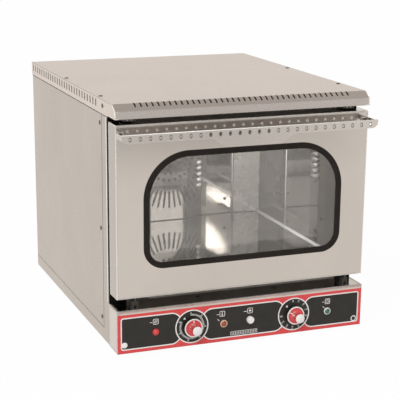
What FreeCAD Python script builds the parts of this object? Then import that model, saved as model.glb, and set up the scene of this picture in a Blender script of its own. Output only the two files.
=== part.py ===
import FreeCAD, Part
import math
import os

# Convection pastry oven with a drop-down door, in millimetres.
# x runs across the front, d is the depth behind the control panel's face, h the height above the base.

# Casing
WIDTH = 600.0
DEPTH = 730.0
HEIGHT = 552.0
SHEET = 1.2
LAP_GAP = 0.3
BASE_HEIGHT = 29.0
POST_DEPTH = 46.0
POST_GAP = 0.5
INNER_FLANGE = 22.0

# Top cover
COVER_FRONT = 2.4
COVER_LIP_DROP = 30.0
COVER_SIDE_DROP = 32.0
CHAMFER_RUN = 21.6
CHAMFER_DROP = 13.0
FRONT_VENT_COUNT = 39
FRONT_VENT_MARGIN = 49.0
FRONT_VENT_WIDTH = 4.0
FRONT_VENT_LENGTH = 17.0
FRONT_VENT_OVER_FOLD = 3.5
SIDE_VENT_COUNT = 27
SIDE_VENT_BEHIND_SEAM = 37.0
SIDE_VENT_BACK_MARGIN = 18.0
SIDE_VENT_WIDTH = 5.5
SIDE_VENT_HEIGHT = 16.0
SIDE_VENT_BELOW_TOP = 3.5

# Control panel
PANEL_HEIGHT = 99.5
PANEL_FLANGE = 25.0
OVERLAY = 0.5
OVERLAY_TOP_GAP = 9.5
OVERLAY_MARGIN = 0.5
DIAL_SPACING = 251.0
DIAL_HEIGHT = 45.5
CONTROL_HEIGHT = 43.0
RED_LAMP_IN = 88.8
AMBER_LAMP_X = -48.5
GREEN_LAMP_IN = 88.3
BUTTON_X = 15.5
BUTTON_HEIGHT = 45.5
LAMP_BODY_RADIUS = 5.5
LAMP_BODY_LENGTH = 26.0
LAMP_HEAD_RADIUS = 7.2
LAMP_HEAD = 2.0
LAMP_DOME_RADIUS = 6.2
LAMP_DOME = 4.0
PANEL_HOLE_GAP = 0.3

# Knobs and the units behind them
SPINDLE_RADIUS = 3.0
SPINDLE_HOLE_GAP = 2.0
SPINDLE_IN_UNIT = 26.0
SPINDLE_IN_KNOB = 20.0
SPINDLE_END_GAP = 0.5
RUNNING_GAP = 0.05
UNIT_WIDTH = 46.0
UNIT_DEPTH = 38.0
KNOB_GAP = 0.8
KNOB_SKIRT_RADIUS = 21.0
KNOB_SKIRT = 12.0
KNOB_SKIRT_TAPER = 1.0
KNOB_GRIP_RADIUS = 10.5
KNOB_GRIP_TAPER = 0.8
KNOB_GRIP = 24.0
KNOB_ROUND = 1.2
KNOB_POINTER_WIDTH = 3.0
KNOB_POINTER = 1.0

# Push button and its switch
BUTTON_RADIUS = 6.7
BUTTON_CAP = 4.0
BUTTON_TRAVEL = 3.0
BUTTON_REST_GAP = 0.5
BUTTON_SIDE_GAP = 0.3
BUTTON_COLLAR_WALL = 1.4
BUTTON_COLLAR = 6.5
BUTTON_COLLAR_FLOOR = 1.0
BUTTON_ROUND = 0.5
BUTTON_STEM_RADIUS = 3.0
BUTTON_STEM = 16.0
SWITCH_BUSH_RADIUS = 6.0
SWITCH_WIDTH = 20.0
SWITCH_DEPTH = 26.0
SWITCH_FLOOR = 3.0

# Door
DOOR_FACE = 4.0
DOOR_SIDE_GAP = 1.0
DOOR_FOOT_GAP = 25.5
DOOR_TOP_GAP = 12.0
DOOR_THICKNESS = 50.0
DOOR_FLANGE = 14.0
SEAL_THICKNESS = 6.0
SEAL_WIDTH = 10.0
SEAL_OFFSET = 4.0
SEAL_CLEARANCE = 0.3

# Window
WINDOW_SIDE = 62.3
WINDOW_FOOT = 63.0
WINDOW_HEAD = 63.0
WINDOW_TOP_RADIUS = 105.0
WINDOW_FOOT_RADIUS = 46.0
WINDOW_LEAST_RADIUS = 24.0
GASKET_WIDTH = 13.0
GASKET_LAP = 5.0
GASKET_PROUD = 3.0
GASKET_BACK = 3.0
GASKET_ROUND = 1.2
GLASS = 4.0
GLASS_IN_GASKET = 5.0
INNER_WINDOW_SPREAD = 14.0
INNER_GLASS_LAP = 14.0
INNER_SEAL = 1.5
INNER_SEAL_WIDTH = 10.0
INNER_SEAL_SETBACK = 2.0

# Handle
HANDLE_STAND = 45.0
HANDLE_SHEET = 2.0
HANDLE_TOP_DROP = 14.0
HANDLE_END_HEIGHT = 18.0
HANDLE_MIDDLE_HEIGHT = 37.0
HANDLE_MIDDLE_HALF = 55.0
HANDLE_SWEEP = 50.0
HANDLE_CORNER = 15.0
HANDLE_HOLE_COUNT = 26
HANDLE_HOLE_MARGIN = 19.0
HANDLE_HOLE_RADIUS = 3.2
HANDLE_HOLE_DROP = 9.0
HANDLE_ARM_HEIGHT = 12.0
HANDLE_FOOT = 18.0

# Hinge below the door
HINGE_BELOW_DOOR = 13.0
HINGE_BEHIND_FACE = 8.0
HINGE_IN_FROM_EDGE = 42.0
HINGE_PIN_RADIUS = 3.0
HINGE_EYE_RADIUS = 8.0
HINGE_LEAF = 5.0
HINGE_LEAF_LENGTH = 36.0
HINGE_LUG = 4.0
HINGE_SIDE_GAP = 0.4
HINGE_BASE = 2.0
HINGE_BASE_LENGTH = 30.0

# Catches above the door
CATCH_IN_FROM_EDGE = 38.0
CATCH_WIDTH = 26.0
CATCH_REACH = 34.0
CATCH_HEIGHT = 6.0
CATCH_CLEARANCE = 0.8

# Cavity
CAVITY_SIDE = 42.0
CAVITY_ABOVE_DOOR_FOOT = 30.0
CAVITY_BELOW_TOP = 62.0
LINER = 1.0
RAIL_FLANGE = 24.0
RAIL_BELOW_SHELF = 58.0
INSULATION = 34.0
INSULATION_AIR = 2.0
STUD_RADIUS = 3.5
STUD_LENGTH = 9.0
STUD_HEAD_RADIUS = 5.5
STUD_HEAD = 2.0
STUD_FRONT_MARGIN = 60.0
STUD_BACK_MARGIN = 136.0
STUD_MARGIN_H = 78.0
PROBE_RADIUS = 3.0
PROBE_LENGTH = 140.0
PROBE_BACK_MARGIN = 130.0
PROBE_ABOVE_FLOOR = 46.0
PROBE_STAND = 7.0
PROBE_CLIP = 8.0

# Fan baffle and air guides
FAN_SPACE = 78.0
FAN_RAISE = 7.5
BAFFLE_RAISE = 22.0
BAFFLE_FLAT_HALF = 50.0
BAFFLE_FOLD_HALF = 98.0
BAFFLE_END_GAP = 2.0
SLOT_COUNT = 56
SLOT_WIDTH = 5.0
SLOT_SIDE_INNER = 82.0
SLOT_INNER_GROWTH = 15.0
SLOT_MARGIN = 18.0
INLET_HOLE_RADIUS = 4.0
INLET_RING_STEP = 17.0
INLET_RINGS = 4
INLET_RING_HOLES = 7
GUIDE_WIDTH = 68.0
GUIDE_GAP = 4.0
GUIDE_FORWARD = 14.0
GUIDE_FLANGE = 18.0
STANDOFF_RADIUS = 6.0
STANDOFF_EDGE = 21.0
STANDOFF_MARGIN = 25.0

# Fan, motor and heating element
SHAFT_RADIUS = 5.0
SHAFT_HOLE_GAP = 4.0
SHAFT_IN_MOTOR = 52.0
FAN_RADIUS = 82.0
FAN_INNER_RADIUS = 52.0
FAN_BLADE_DEPTH = 40.0
FAN_DISC = 2.0
FAN_BLADE = 1.5
FAN_BLADES = 18
FAN_BLADE_TURN = 25.0
FAN_HUB_RADIUS = 15.0
FAN_WALL_GAP = 12.0
MOTOR_RADIUS = 52.0
MOTOR_LENGTH = 66.0
MOTOR_AIR = 13.0
BRACKET_PLATE = 3.0
BRACKET_HALF = 62.0
BRACKET_LEG_RADIUS = 5.0
BRACKET_LEG_EDGE = 10.0
BRACKET_AIR = 6.0
SLEEVE_RADIUS = 24.0
ELEMENT_RADIUS = 116.0
ELEMENT_TUBE = 4.0
ELEMENT_BEND = 14.0
ELEMENT_OPEN_DEG = 24.0
ELEMENT_BEFORE_WALL = 40.0
ELEMENT_TAIL = 5.0
PASS_GAP = 0.3

# Back, feet and fasteners
GLAND_IN = 100.0
GLAND_HEIGHT = 60.0
GLAND_RADIUS = 13.0
GLAND_BORE_RADIUS = 5.5
GLAND_PROUD = 18.0
GLAND_THREAD_RADIUS = 10.0
GLAND_INSIDE = 14.0
TERMINAL_IN = 170.0
TERMINAL_WIDTH = 64.0
TERMINAL_DEPTH = 22.0
TERMINAL_HEIGHT = 30.0
BACK_VENT_ROWS = 9
BACK_VENT_PITCH = 16.0
BACK_VENT_HALF = 90.0
BACK_VENT_HEIGHT = 5.0
FOOT_HEIGHT = 12.0
FOOT_RADIUS = 17.0
FOOT_TAPER = 3.0
FOOT_IN_X = 52.0
FOOT_IN_FRONT = 66.0
FOOT_IN_BACK = 60.0
SCREW_RADIUS = 2.0
SCREW_LENGTH = 7.0
SCREW_HEAD_RADIUS = 4.0
SCREW_HEAD = 1.4
SCREW_HOLE_GAP = 0.2
TOP_SCREW_IN = 10.0
TOP_SCREW_BEHIND_SEAM = 32.0
TOP_SCREW_BACK_MARGIN = 310.0
SIDE_SCREW_BEHIND_SEAM = 14.0
SIDE_SCREW_ABOVE_BASE = 21.0
SIDE_SCREW_MIDDLE = 259.0
SIDE_SCREW_BELOW_TOP = 55.0
FLANGE_SCREW_AHEAD = 13.0
FLANGE_SCREW_DROP = 14.0
SHELF_SCREW_IN = 205.0
SHELF_SCREW_AHEAD = 17.0

# Places worked out from the sizes above
HALF = WIDTH / 2
SIDE = HALF - SHEET - LAP_GAP
FRAME = DOOR_FACE + DOOR_THICKNESS + SEAL_THICKNESS
SEAM = FRAME + POST_DEPTH
BACK = DEPTH - SHEET - LAP_GAP
SIDE_END = BACK - SHEET
COVER_UNDER = HEIGHT - SHEET
DOOR_HALF = HALF - DOOR_SIDE_GAP
DOOR_FOOT = PANEL_HEIGHT + DOOR_FOOT_GAP
DOOR_TOP = HEIGHT - COVER_LIP_DROP - DOOR_TOP_GAP
DOOR_BACK = DOOR_FACE + DOOR_THICKNESS
CAVITY_HALF = HALF - CAVITY_SIDE
CAVITY_FLOOR = DOOR_FOOT + CAVITY_ABOVE_DOOR_FOOT
CAVITY_TOP = HEIGHT - CAVITY_BELOW_TOP
FLOOR_UNDER = CAVITY_FLOOR - LINER
CEILING_OVER = CAVITY_TOP + LINER
LINER_HALF = CAVITY_HALF + LINER
POST_INNER = LINER_HALF + POST_GAP
RAIL_END = FRAME + RAIL_FLANGE
MOTOR_FACE = SIDE_END - MOTOR_AIR - MOTOR_LENGTH
WALL = MOTOR_FACE - BRACKET_PLATE - BRACKET_AIR - INSULATION - LINER
BAFFLE = WALL - FAN_SPACE
BAFFLE_HALF = CAVITY_HALF - GUIDE_WIDTH - GUIDE_GAP
FAN_H = (CAVITY_FLOOR + CAVITY_TOP) / 2 + FAN_RAISE
FAN_HEADROOM = CAVITY_TOP - FAN_H
SLOT_OUTER = FAN_HEADROOM - SLOT_MARGIN
STANDOFF_H = FAN_HEADROOM - STANDOFF_MARGIN
HINGE_X = DOOR_HALF - HINGE_IN_FROM_EDGE
HINGE_D = DOOR_FACE + HINGE_BEHIND_FACE
HINGE_H = DOOR_FOOT - HINGE_BELOW_DOOR
HANDLE_FRONT = DOOR_FACE - HANDLE_STAND
HANDLE_TOP = DOOR_TOP - HANDLE_TOP_DROP
DIALS = (-DIAL_SPACING / 2, DIAL_SPACING / 2)
RED_LAMP_X = RED_LAMP_IN - HALF
GREEN_LAMP_X = HALF - GREEN_LAMP_IN
SHELF_SCREW_X = HALF - SHELF_SCREW_IN
GLAND_X = HALF - GLAND_IN
TERMINAL_X = HALF - TERMINAL_IN
KNOB_BACK = -OVERLAY - KNOB_GAP
FOREMOST = min(HANDLE_FRONT, KNOB_BACK - KNOB_SKIRT - KNOB_GRIP)
REARMOST = max(DEPTH, BACK + GLAND_PROUD)
PANEL_FACE_Y = -(FOREMOST + REARMOST) / 2
ACROSS = FreeCAD.Vector(1, 0, 0)
BACKWARD = FreeCAD.Vector(0, 1, 0)
UP = FreeCAD.Vector(0, 0, 1)
SIDES = (-1, 1)
# Arcs that end nearer to each other than this meet without a line between them
MEETING = 0.001


def at(x, d, h):
    return FreeCAD.Vector(x, PANEL_FACE_Y + d, FOOT_HEIGHT + h)


def block(x0, x1, d0, d1, h0, h1):
    return Part.makeBox(x1 - x0, d1 - d0, h1 - h0, at(x0, d0, h0))


def rod(x, d, h, radius, length, direction=BACKWARD):
    return Part.makeCylinder(radius, length, at(x, d, h), direction)


def fuse(first, *others):
    return first.multiFuse(list(others)).removeSplitter()


def cut(shape, *tools):
    return shape.cut(list(tools))


def mirrored(shape):
    return shape.mirror(FreeCAD.Vector(0, 0, 0), ACROSS)


def through(x, h, radius, start, end):
    return rod(x, start, h, radius, end - start)


def round_front(shape, d, radius):
    # Rounds the edges that lie in the plane d.
    y = at(0, d, 0).y
    bounds = [(edge, edge.BoundBox) for edge in shape.Edges]
    edges = [edge for edge, box in bounds if max(abs(box.YMin - y), abs(box.YMax - y)) < MEETING]
    return shape.makeFillet(radius, edges)


def arc(centre_x, centre_h, radius, start, end, d):
    points = []
    for angle in (start, (start + end) / 2, end):
        turn = math.radians(angle)
        points.append(at(centre_x + radius * math.cos(turn), d, centre_h + radius * math.sin(turn)))
    return Part.Arc(*points).toShape()


def closed_prism(arcs, thickness):
    # Joins arcs drawn in order by straight lines and gives the outline a thickness backwards.
    loop = []
    for edge, following in zip(arcs, arcs[1:] + arcs[:1]):
        start = edge.lastVertex().Point
        end = following.firstVertex().Point
        loop.append(edge)
        if start.distanceToPoint(end) > MEETING:
            loop.append(Part.makeLine(start, end))
    return Part.Face(Part.Wire(loop)).extrude(BACKWARD * thickness)


def rounded_panel(half, low, high, low_radius, high_radius, d, thickness):
    corners = [
        arc(half - low_radius, low + low_radius, low_radius, -90, 0, d),
        arc(half - high_radius, high - high_radius, high_radius, 0, 90, d),
        arc(-half + high_radius, high - high_radius, high_radius, 90, 180, d),
        arc(-half + low_radius, low + low_radius, low_radius, 180, 270, d),
    ]
    return closed_prism(corners, thickness)


def window_panel(inset, d, thickness):
    return rounded_panel(
        DOOR_HALF - WINDOW_SIDE - inset,
        DOOR_FOOT + WINDOW_FOOT + inset,
        DOOR_TOP - WINDOW_HEAD - inset,
        max(WINDOW_FOOT_RADIUS - inset, WINDOW_LEAST_RADIUS),
        WINDOW_TOP_RADIUS - inset,
        d,
        thickness,
    )


def window_ring(outer_inset, inner_inset, d, thickness):
    return cut(window_panel(outer_inset, d, thickness), window_panel(inner_inset, d, thickness))


def profile_prism(points, half):
    # Extrudes a closed (d, h) outline across the oven from -half to half.
    corners = [at(-half, d, h) for d, h in points]
    return Part.Face(Part.makePolygon(corners + corners[:1])).extrude(ACROSS * (2 * half))


def plan_prism(points, low, high):
    # Extrudes a closed (x, d) outline upwards from low to high.
    corners = [at(x, d, low) for x, d in points]
    return Part.Face(Part.makePolygon(corners + corners[:1])).extrude(UP * (high - low))


def screw(x, d, h, outward):
    head = Part.makeCylinder(SCREW_HEAD_RADIUS, SCREW_HEAD, at(x, d, h), outward)
    shank = Part.makeCylinder(SCREW_RADIUS, SCREW_LENGTH, at(x, d, h), -outward)
    return fuse(head, shank)


def screw_hole(x, d, h, outward):
    start = at(x, d, h) + outward * SCREW_LENGTH
    return Part.makeCylinder(SCREW_RADIUS + SCREW_HOLE_GAP, 2.5 * SCREW_LENGTH, start, -outward)


def save(name, *solids):
    shape = solids[0] if len(solids) == 1 else Part.makeCompound(list(solids))
    shape.exportStep("parts/%s.step" % name)


os.makedirs("parts", exist_ok=True)

# Casing screws and the holes that they pass through
top_screw_depths = (SEAM + TOP_SCREW_BEHIND_SEAM, DEPTH - TOP_SCREW_BACK_MARGIN)
wall_screw_heights = (BASE_HEIGHT + SIDE_SCREW_ABOVE_BASE, SIDE_SCREW_MIDDLE, HEIGHT - SIDE_SCREW_BELOW_TOP)
casing_screw_places = []
for side in SIDES:
    outward = ACROSS * side
    for d in top_screw_depths:
        casing_screw_places.append((side * (HALF - TOP_SCREW_IN), d, HEIGHT, UP))
    for h in wall_screw_heights:
        casing_screw_places.append((side * SIDE, SEAM + SIDE_SCREW_BEHIND_SEAM, h, outward))
        casing_screw_places.append((side * (SIDE - INNER_FLANGE / 2), BACK, h, BACKWARD))
    casing_screw_places.append((side * HALF, SEAM - FLANGE_SCREW_AHEAD, HEIGHT - FLANGE_SCREW_DROP, outward))
    casing_screw_places.append((side * SHELF_SCREW_X, FRAME - SHELF_SCREW_AHEAD, PANEL_HEIGHT, UP))
save("casing_screws", *[screw(*place) for place in casing_screw_places])
screw_holes = [screw_hole(*place) for place in casing_screw_places]

# Vents shared by the cover's flanges and the side panels
vent_start = SEAM + SIDE_VENT_BEHIND_SEAM
vent_step = (DEPTH - SIDE_VENT_BACK_MARGIN - vent_start) / (SIDE_VENT_COUNT - 1)
vent_top = COVER_UNDER - SHEET - SIDE_VENT_BELOW_TOP
vent_low = vent_top - SIDE_VENT_HEIGHT
vent_inner = SIDE - 2 * SHEET
vent_outer = HALF + SHEET
side_vents = []
for number in range(SIDE_VENT_COUNT):
    d0 = vent_start + number * vent_step - SIDE_VENT_WIDTH / 2
    d1 = d0 + SIDE_VENT_WIDTH
    side_vents.append(block(vent_inner, vent_outer, d0, d1, vent_low, vent_top))
    side_vents.append(block(-vent_outer, -vent_inner, d0, d1, vent_low, vent_top))

# Top cover
slope = math.atan2(CHAMFER_DROP, CHAMFER_RUN)
lip_foot = HEIGHT - COVER_LIP_DROP
flange_foot = HEIGHT - COVER_SIDE_DROP
fold_low = HEIGHT - CHAMFER_DROP
fold_back = COVER_FRONT + CHAMFER_RUN
cover_outside = profile_prism(
    [
        (COVER_FRONT, lip_foot),
        (COVER_FRONT, fold_low),
        (fold_back, HEIGHT),
        (DEPTH, HEIGHT),
        (DEPTH, flange_foot),
        (FRAME, flange_foot),
        (FRAME, lip_foot),
    ],
    HALF,
)
cover_inside = profile_prism(
    [
        (COVER_FRONT + SHEET, flange_foot - SHEET),
        (COVER_FRONT + SHEET, fold_low - SHEET * math.tan(math.pi / 4 - slope / 2)),
        (fold_back + SHEET * math.tan(slope / 2), COVER_UNDER),
        (DEPTH - SHEET, COVER_UNDER),
        (DEPTH - SHEET, flange_foot - SHEET),
    ],
    HALF - SHEET,
)
front_vent_step = (WIDTH - 2 * FRONT_VENT_MARGIN) / (FRONT_VENT_COUNT - 1)
front_vents = []
for number in range(FRONT_VENT_COUNT):
    corner = FreeCAD.Vector(-FRONT_VENT_WIDTH / 2, FRONT_VENT_OVER_FOLD - FRONT_VENT_LENGTH, -3 * SHEET)
    vent = Part.makeBox(FRONT_VENT_WIDTH, FRONT_VENT_LENGTH, 6 * SHEET, corner)
    vent.rotate(FreeCAD.Vector(0, 0, 0), ACROSS, math.degrees(slope))
    vent.translate(at(number * front_vent_step - HALF + FRONT_VENT_MARGIN, fold_back, HEIGHT))
    front_vents.append(vent)
save("top_cover", cut(cover_outside, cover_inside, *front_vents, *side_vents, *screw_holes))

# Side panels, flanged inwards at the top, the back and the foot
flange_in = SIDE - INNER_FLANGE
side_sheet = fuse(
    block(SIDE - SHEET, SIDE, SEAM, SIDE_END, BASE_HEIGHT, COVER_UNDER),
    block(flange_in, SIDE, SEAM, SIDE_END, COVER_UNDER - SHEET, COVER_UNDER),
    block(flange_in, SIDE, SEAM, SIDE_END, BASE_HEIGHT, BASE_HEIGHT + SHEET),
    block(flange_in, SIDE, SIDE_END - SHEET, SIDE_END, BASE_HEIGHT, COVER_UNDER),
)
save("right_side_panel", cut(side_sheet, *side_vents, *screw_holes))
save("left_side_panel", cut(mirrored(side_sheet), *side_vents, *screw_holes))

# Base tray
tray_front = SEAM - SHEET
tray_shell = cut(
    block(-SIDE, SIDE, SEAM, SIDE_END, 0, BASE_HEIGHT),
    block(-SIDE + SHEET, SIDE - SHEET, tray_front, SIDE_END - SHEET, SHEET, BASE_HEIGHT - SHEET),
    block(-flange_in, flange_in, tray_front, SIDE_END - INNER_FLANGE, SHEET, BASE_HEIGHT + SHEET),
)
save("base_tray", fuse(tray_shell, block(-SIDE, SIDE, PANEL_FLANGE, SEAM, 0, SHEET)))

# Back panel with its vents behind the motor
back_openings = [rod(GLAND_X, SIDE_END, GLAND_HEIGHT, GLAND_THREAD_RADIUS + PASS_GAP, SHEET)]
for row in range(BACK_VENT_ROWS):
    low = FAN_H + (row - (BACK_VENT_ROWS - 1) / 2) * BACK_VENT_PITCH - BACK_VENT_HEIGHT / 2
    vent = block(-BACK_VENT_HALF, BACK_VENT_HALF, SIDE_END, BACK, low, low + BACK_VENT_HEIGHT)
    back_openings.append(vent)
save("back_panel", cut(block(-SIDE, SIDE, SIDE_END, BACK, 0, COVER_UNDER), *back_openings, *screw_holes))

# Cable gland and terminal block
gland = fuse(
    rod(GLAND_X, BACK, GLAND_HEIGHT, GLAND_RADIUS, GLAND_PROUD),
    rod(GLAND_X, BACK - GLAND_INSIDE, GLAND_HEIGHT, GLAND_THREAD_RADIUS, GLAND_INSIDE),
)
gland_length = GLAND_INSIDE + GLAND_PROUD
gland_bore = rod(GLAND_X, BACK - GLAND_INSIDE, GLAND_HEIGHT, GLAND_BORE_RADIUS, gland_length)
save("cable_gland", cut(gland, gland_bore))
terminal_low = GLAND_HEIGHT - TERMINAL_HEIGHT / 2
terminal_left = TERMINAL_X - TERMINAL_WIDTH / 2
save(
    "terminal_block",
    block(
        terminal_left,
        terminal_left + TERMINAL_WIDTH,
        SIDE_END - TERMINAL_DEPTH,
        SIDE_END,
        terminal_low,
        terminal_low + TERMINAL_HEIGHT,
    ),
)

# Feet
feet = []
for side in SIDES:
    for d in (FOOT_IN_FRONT, BACK - FOOT_IN_BACK):
        foot_base = at(side * (HALF - FOOT_IN_X), d, -FOOT_HEIGHT)
        feet.append(Part.makeCone(FOOT_RADIUS - FOOT_TAPER, FOOT_RADIUS, FOOT_HEIGHT, foot_base, UP))
save("feet", *feet)

# Front posts and rails around the oven mouth
post = cut(
    block(POST_INNER, SIDE, FRAME, SEAM, SHEET, COVER_UNDER),
    block(POST_INNER + SHEET, SIDE - SHEET, FRAME + SHEET, SEAM + SHEET, 0, HEIGHT),
)
save("front_post_right", cut(post, *screw_holes))
save("front_post_left", cut(mirrored(post), *screw_holes))
rail_foot = PANEL_HEIGHT - RAIL_BELOW_SHELF
save(
    "front_rail_bottom",
    fuse(
        block(-POST_INNER, POST_INNER, FRAME, FRAME + SHEET, rail_foot, FLOOR_UNDER),
        block(-POST_INNER, POST_INNER, FRAME, RAIL_END, FLOOR_UNDER - SHEET, FLOOR_UNDER),
    ),
)
save(
    "front_rail_top",
    fuse(
        block(-POST_INNER, POST_INNER, FRAME, FRAME + SHEET, CEILING_OVER, COVER_UNDER),
        block(-POST_INNER, POST_INNER, FRAME, RAIL_END, CEILING_OVER, CEILING_OVER + SHEET),
        block(-POST_INNER, POST_INNER, FRAME, RAIL_END, COVER_UNDER - SHEET, COVER_UNDER),
    ),
)

# Seal on the front frame, behind the door
seal_half = CAVITY_HALF + SEAL_OFFSET
seal_low = CAVITY_FLOOR - SEAL_OFFSET
seal_high = CAVITY_TOP + SEAL_OFFSET
seal_start = DOOR_BACK + SEAL_CLEARANCE
seal_outer = block(
    -seal_half - SEAL_WIDTH,
    seal_half + SEAL_WIDTH,
    seal_start,
    FRAME,
    seal_low - SEAL_WIDTH,
    seal_high + SEAL_WIDTH,
)
save("door_seal", cut(seal_outer, block(-seal_half, seal_half, seal_start, FRAME, seal_low, seal_high)))

# Catches above the door, clear of the arc of its top back edge
door_rise = math.hypot(DOOR_BACK - HINGE_D, DOOR_TOP - HINGE_H) - (DOOR_TOP - HINGE_H)
catch_low = DOOR_TOP + door_rise + CATCH_CLEARANCE
catch_inner = DOOR_HALF - CATCH_IN_FROM_EDGE - CATCH_WIDTH / 2
catch = block(
    catch_inner,
    catch_inner + CATCH_WIDTH,
    FRAME - CATCH_REACH,
    FRAME,
    catch_low,
    catch_low + CATCH_HEIGHT,
)
save("door_catches", mirrored(catch), catch)

# Cavity walls, with the holes in the back wall
element_depth = WALL - ELEMENT_BEFORE_WALL
element_end = WALL + LINER + INSULATION + ELEMENT_TAIL
element_gap = math.radians(ELEMENT_OPEN_DEG / 2)
element_ring_x = ELEMENT_RADIUS * math.sin(element_gap)
element_ring_h = FAN_H - ELEMENT_RADIUS * math.cos(element_gap)
element_leg_x = element_ring_x - ELEMENT_BEND * math.cos(element_gap)
element_leg_h = element_ring_h - ELEMENT_BEND * math.sin(element_gap)
leg_reach = BRACKET_HALF - BRACKET_LEG_EDGE
bracket_legs = [(x * leg_reach, FAN_H + h * leg_reach) for x in SIDES for h in SIDES]


def wall_holes(start, end):
    return [through(x * element_leg_x, element_leg_h, ELEMENT_TUBE + PASS_GAP, start, end) for x in SIDES]


save("cavity_floor", block(-LINER_HALF, LINER_HALF, FRAME, WALL, FLOOR_UNDER, CAVITY_FLOOR))
save("cavity_ceiling", block(-LINER_HALF, LINER_HALF, FRAME, WALL, CAVITY_TOP, CEILING_OVER))
cavity_wall = block(CAVITY_HALF, LINER_HALF, FRAME, WALL, CAVITY_FLOOR, CAVITY_TOP)
save("cavity_right_wall", cavity_wall)
save("cavity_left_wall", mirrored(cavity_wall))
wall_back = WALL + LINER
back_wall = block(-LINER_HALF, LINER_HALF, WALL, wall_back, FLOOR_UNDER, CEILING_OVER)
shaft_hole = through(0, FAN_H, SHAFT_RADIUS + SHAFT_HOLE_GAP, WALL, MOTOR_FACE)
save("cavity_back_wall", cut(back_wall, shaft_hole, *wall_holes(WALL, wall_back)))

# Insulation boards against the cavity
wool_back = wall_back + INSULATION
wool_side = cut(
    block(LINER_HALF, SIDE - SHEET - INSULATION_AIR, SEAM, WALL, CAVITY_FLOOR, CAVITY_TOP),
    *screw_holes,
)
save("side_insulation", mirrored(wool_side), wool_side)
save(
    "top_insulation",
    block(-LINER_HALF, LINER_HALF, RAIL_END, WALL, CEILING_OVER, CEILING_OVER + INSULATION),
)
save(
    "bottom_insulation",
    block(-LINER_HALF, LINER_HALF, RAIL_END, WALL, FLOOR_UNDER - INSULATION, FLOOR_UNDER),
)
leg_holes = [through(x, h, BRACKET_LEG_RADIUS + PASS_GAP, wall_back, wool_back) for x, h in bracket_legs]
save(
    "back_insulation",
    cut(
        block(-LINER_HALF, LINER_HALF, wall_back, wool_back, FLOOR_UNDER, CEILING_OVER),
        through(0, FAN_H, SLEEVE_RADIUS, wall_back, wool_back),
        *leg_holes,
        *wall_holes(wall_back, wool_back),
    ),
)

# Studs for the tray racks, and the thermostat probe on the right wall
stud_depths = (FRAME + STUD_FRONT_MARGIN, BAFFLE - STUD_BACK_MARGIN)
stud_heights = (CAVITY_FLOOR + STUD_MARGIN_H, CAVITY_TOP - STUD_MARGIN_H)
studs = []
for d in stud_depths:
    for h in stud_heights:
        pin = rod(CAVITY_HALF, d, h, STUD_RADIUS, STUD_LENGTH, -ACROSS)
        stud_head = rod(CAVITY_HALF - STUD_LENGTH, d, h, STUD_HEAD_RADIUS, STUD_HEAD, -ACROSS)
        studs.append(fuse(pin, stud_head))
save("rack_studs", *studs, *[mirrored(stud) for stud in studs])
probe_x = CAVITY_HALF - PROBE_STAND
probe_h = CAVITY_FLOOR + PROBE_ABOVE_FLOOR
probe_start = BAFFLE - PROBE_BACK_MARGIN - PROBE_LENGTH
clips = []
for d in (probe_start + PROBE_CLIP, probe_start + PROBE_LENGTH - 2 * PROBE_CLIP):
    clip_low = probe_h - PROBE_CLIP / 2
    clips.append(block(probe_x, CAVITY_HALF, d, d + PROBE_CLIP, clip_low, clip_low + PROBE_CLIP))
save("thermostat_probe", fuse(rod(probe_x, probe_start, probe_h, PROBE_RADIUS, PROBE_LENGTH), *clips))

# Fan baffle: a sheet folded forward in the middle, with radial outlets and a round inlet
baffle_low = CAVITY_FLOOR + BAFFLE_END_GAP
baffle_high = CAVITY_TOP - BAFFLE_END_GAP
baffle_nose = BAFFLE - BAFFLE_RAISE
baffle_front = [
    (-BAFFLE_HALF, BAFFLE),
    (-BAFFLE_FOLD_HALF, BAFFLE),
    (-BAFFLE_FLAT_HALF, baffle_nose),
    (BAFFLE_FLAT_HALF, baffle_nose),
    (BAFFLE_FOLD_HALF, BAFFLE),
    (BAFFLE_HALF, BAFFLE),
]
baffle_rear = [(x, d + LINER) for x, d in reversed(baffle_front)]
baffle_cuts = [through(0, FAN_H, INLET_HOLE_RADIUS, baffle_nose, BAFFLE)]
fan_middle = at(0, BAFFLE, FAN_H)
for number in range(SLOT_COUNT):
    angle = 2 * math.pi * number / SLOT_COUNT
    inner = SLOT_SIDE_INNER + SLOT_INNER_GROWTH * math.sin(angle) ** 2
    outer = min(SLOT_OUTER, BAFFLE_FOLD_HALF / max(abs(math.cos(angle)), BAFFLE_FOLD_HALF / SLOT_OUTER))
    ends = [
        arc(outer - SLOT_WIDTH / 2, FAN_H, SLOT_WIDTH / 2, -90, 90, baffle_nose),
        arc(inner + SLOT_WIDTH / 2, FAN_H, SLOT_WIDTH / 2, 90, 270, baffle_nose),
    ]
    slot = closed_prism(ends, BAFFLE_RAISE + 2 * LINER)
    slot.rotate(fan_middle, BACKWARD, math.degrees(angle))
    baffle_cuts.append(slot)
for ring in range(1, INLET_RINGS + 1):
    for number in range(ring * INLET_RING_HOLES):
        angle = 2 * math.pi * number / (ring * INLET_RING_HOLES)
        x = ring * INLET_RING_STEP * math.cos(angle)
        h = FAN_H + ring * INLET_RING_STEP * math.sin(angle)
        baffle_cuts.append(through(x, h, INLET_HOLE_RADIUS, baffle_nose, BAFFLE + 2 * LINER))
standoff_x = BAFFLE_HALF - STANDOFF_EDGE
standoff_places = [(x * standoff_x, FAN_H + h * STANDOFF_H) for x in SIDES for h in SIDES]
baffle_screw_places = [(x, BAFFLE, h, -BACKWARD) for x, h in standoff_places]
baffle_screw_holes = [screw_hole(*place) for place in baffle_screw_places]
baffle = plan_prism(baffle_front + baffle_rear, baffle_low, baffle_high)
save("fan_baffle", cut(baffle, *baffle_cuts, *baffle_screw_holes))
save("baffle_screws", *[screw(*place) for place in baffle_screw_places])
standoffs = [through(x, h, STANDOFF_RADIUS, BAFFLE + LINER, WALL) for x, h in standoff_places]
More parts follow.
